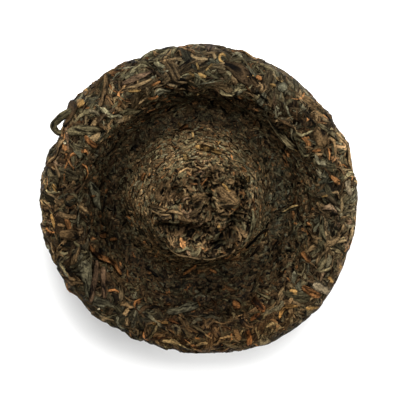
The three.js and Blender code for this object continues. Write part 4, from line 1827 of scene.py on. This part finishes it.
@dataclass(frozen=True)
class Studio:
    """A white floor and room, three softboxes, and the camera at the photograph's angle.

    Angles are in degrees, lengths of the camera in millimetres and those of the lights in metres.
    A light has a name, a place, a size and a power.
    """

    sizes: FormSizes = FormSizes()
    axis_tilt: float = 16.0
    axis_roll: float = 8.0
    distance: float = 600.0
    cap_width_px: float = 320.0
    frame_px: float = 400.0
    widest_centre_px: tuple[float, float] = (199.3, 202.9)
    sensor: float = 36.0
    floor_size: float = 6.0
    lit_height: float = 0.03
    room_light: float = 0.5
    softboxes: tuple[tuple[str, tuple[float, float, float], float, float], ...] = (
        ("softbox_far", (0.05, 0.72, 1.0), 0.6, 28.0),
        ("softbox_right", (0.9, 0.4, 0.45), 0.5, 9.0),
        ("softbox_left", (-0.8, 0.3, 0.45), 0.5, 4.0),
    )

    def camera(self) -> bpy.types.Object:
        """Add the camera and return it: the stem leans down and to the right of the picture."""
        tilt, roll = math.radians(self.axis_tilt), math.radians(self.axis_roll)
        axis = Vector((math.sin(tilt) * math.sin(roll), -math.sin(tilt) * math.cos(roll), math.cos(tilt)))
        to_camera = Vector((0, 0, 1)).rotation_difference(axis)
        to_world = to_camera.inverted()
        right, up, back = (to_world @ Vector(way) for way in ((1, 0, 0), (0, 1, 0), (0, 0, 1)))
        px_per_mm = self.cap_width_px / (2 * self.sizes.cap_radius)
        centre_x, centre_y = self.widest_centre_px
        middle = self.frame_px / 2
        aim = Vector((0, 0, self.sizes.widest_height))
        aim += right * ((middle - centre_x) / px_per_mm) + up * ((centre_y - middle) / px_per_mm)
        unselect()
        bpy.ops.object.camera_add()
        camera = bpy.context.object
        camera.name = "photo_camera"
        camera.rotation_mode = "QUATERNION"
        camera.rotation_quaternion = to_world
        camera.location = (aim + back * self.distance) * MM
        camera.data.sensor_width = self.sensor
        camera.data.lens = self.sensor * px_per_mm * self.distance / self.frame_px
        camera.data.clip_start = 0.01
        camera.data.clip_end = 20
        bpy.context.scene.camera = camera
        return camera

    def floor(self) -> bpy.types.Object:
        """Add the floor, and return it."""
        unselect()
        bpy.ops.mesh.primitive_plane_add(size=self.floor_size, location=(0, 0, 0))
        floor = bpy.context.object
        floor.name = "floor"
        white = bpy.data.materials.new("white_paper")
        white.use_nodes = True
        shader = white.node_tree.nodes["Principled BSDF"]
        shader.inputs["Base Color"].default_value = (0.9, 0.9, 0.895, 1)
        shader.inputs["Roughness"].default_value = 0.9
        shader.inputs["Specular IOR Level"].default_value = 0.1
        floor.data.materials.append(white)
        return floor

    def lights(self) -> None:
        """Add a softbox beyond the cap, one on its right and one on its left, and the white room."""
        scene = bpy.context.scene
        for name, place, size, power in self.softboxes:
            unselect()
            bpy.ops.object.light_add(type="AREA", location=place)
            light = bpy.context.object
            light.name = name
            light.data.shape = "SQUARE"
            light.data.size = size
            light.data.energy = power
            aim = Vector((0, 0, self.lit_height)) - Vector(place)
            light.rotation_mode = "QUATERNION"
            light.rotation_quaternion = aim.to_track_quat("-Z", "Y")
        room = bpy.data.worlds.new("white_room")
        room.use_nodes = True
        background = room.node_tree.nodes["Background"]
        background.inputs["Color"].default_value = (1, 1, 1, 1)
        background.inputs["Strength"].default_value = self.room_light
        scene.world = room
        scene.view_settings.view_transform = "Standard"
        scene.view_settings.look = "None"

    def build(self) -> None:
        """Add camera, floor and lights."""
        self.camera()
        self.floor()
        self.lights()


def dress(piece: bpy.types.Object, material: bpy.types.Material) -> bpy.types.Object:
    """Give a finished piece its material and its place in the frame.

    Args:
        piece: The piece.
        material: Its material.

    Returns:
        The piece.
    """
    piece.data.materials.clear()
    piece.data.materials.append(material)
    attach(piece, BODY)
    log.info("%s: %d faces", piece.name, len(piece.data.polygons))
    return piece


def write_sizes() -> None:
    """Update the view layer."""
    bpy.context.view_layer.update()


def main() -> None:
    """Build the part and its studio in order."""
    logging.basicConfig(level=logging.INFO, format="%(name)s: %(message)s")
    Studio().build()
    form = PressedForm()
    pressed = LeafFinish("pressed_leaf", roughness=0.55, pleat_depth=0.4, streak=0.7)
    core = dress(Core(form).build(), pressed.material())
    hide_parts(NODE)
    leaf = LeafFinish("dry_leaf", pleat_width=0.75).material()
    for piece in Leaves(form).build() + LaidStrips(form).build():
        dress(piece, leaf)
    dress(EdgeLoop().build(form), leaf)
    write_sizes()


if __name__ == "__main__":
    main()
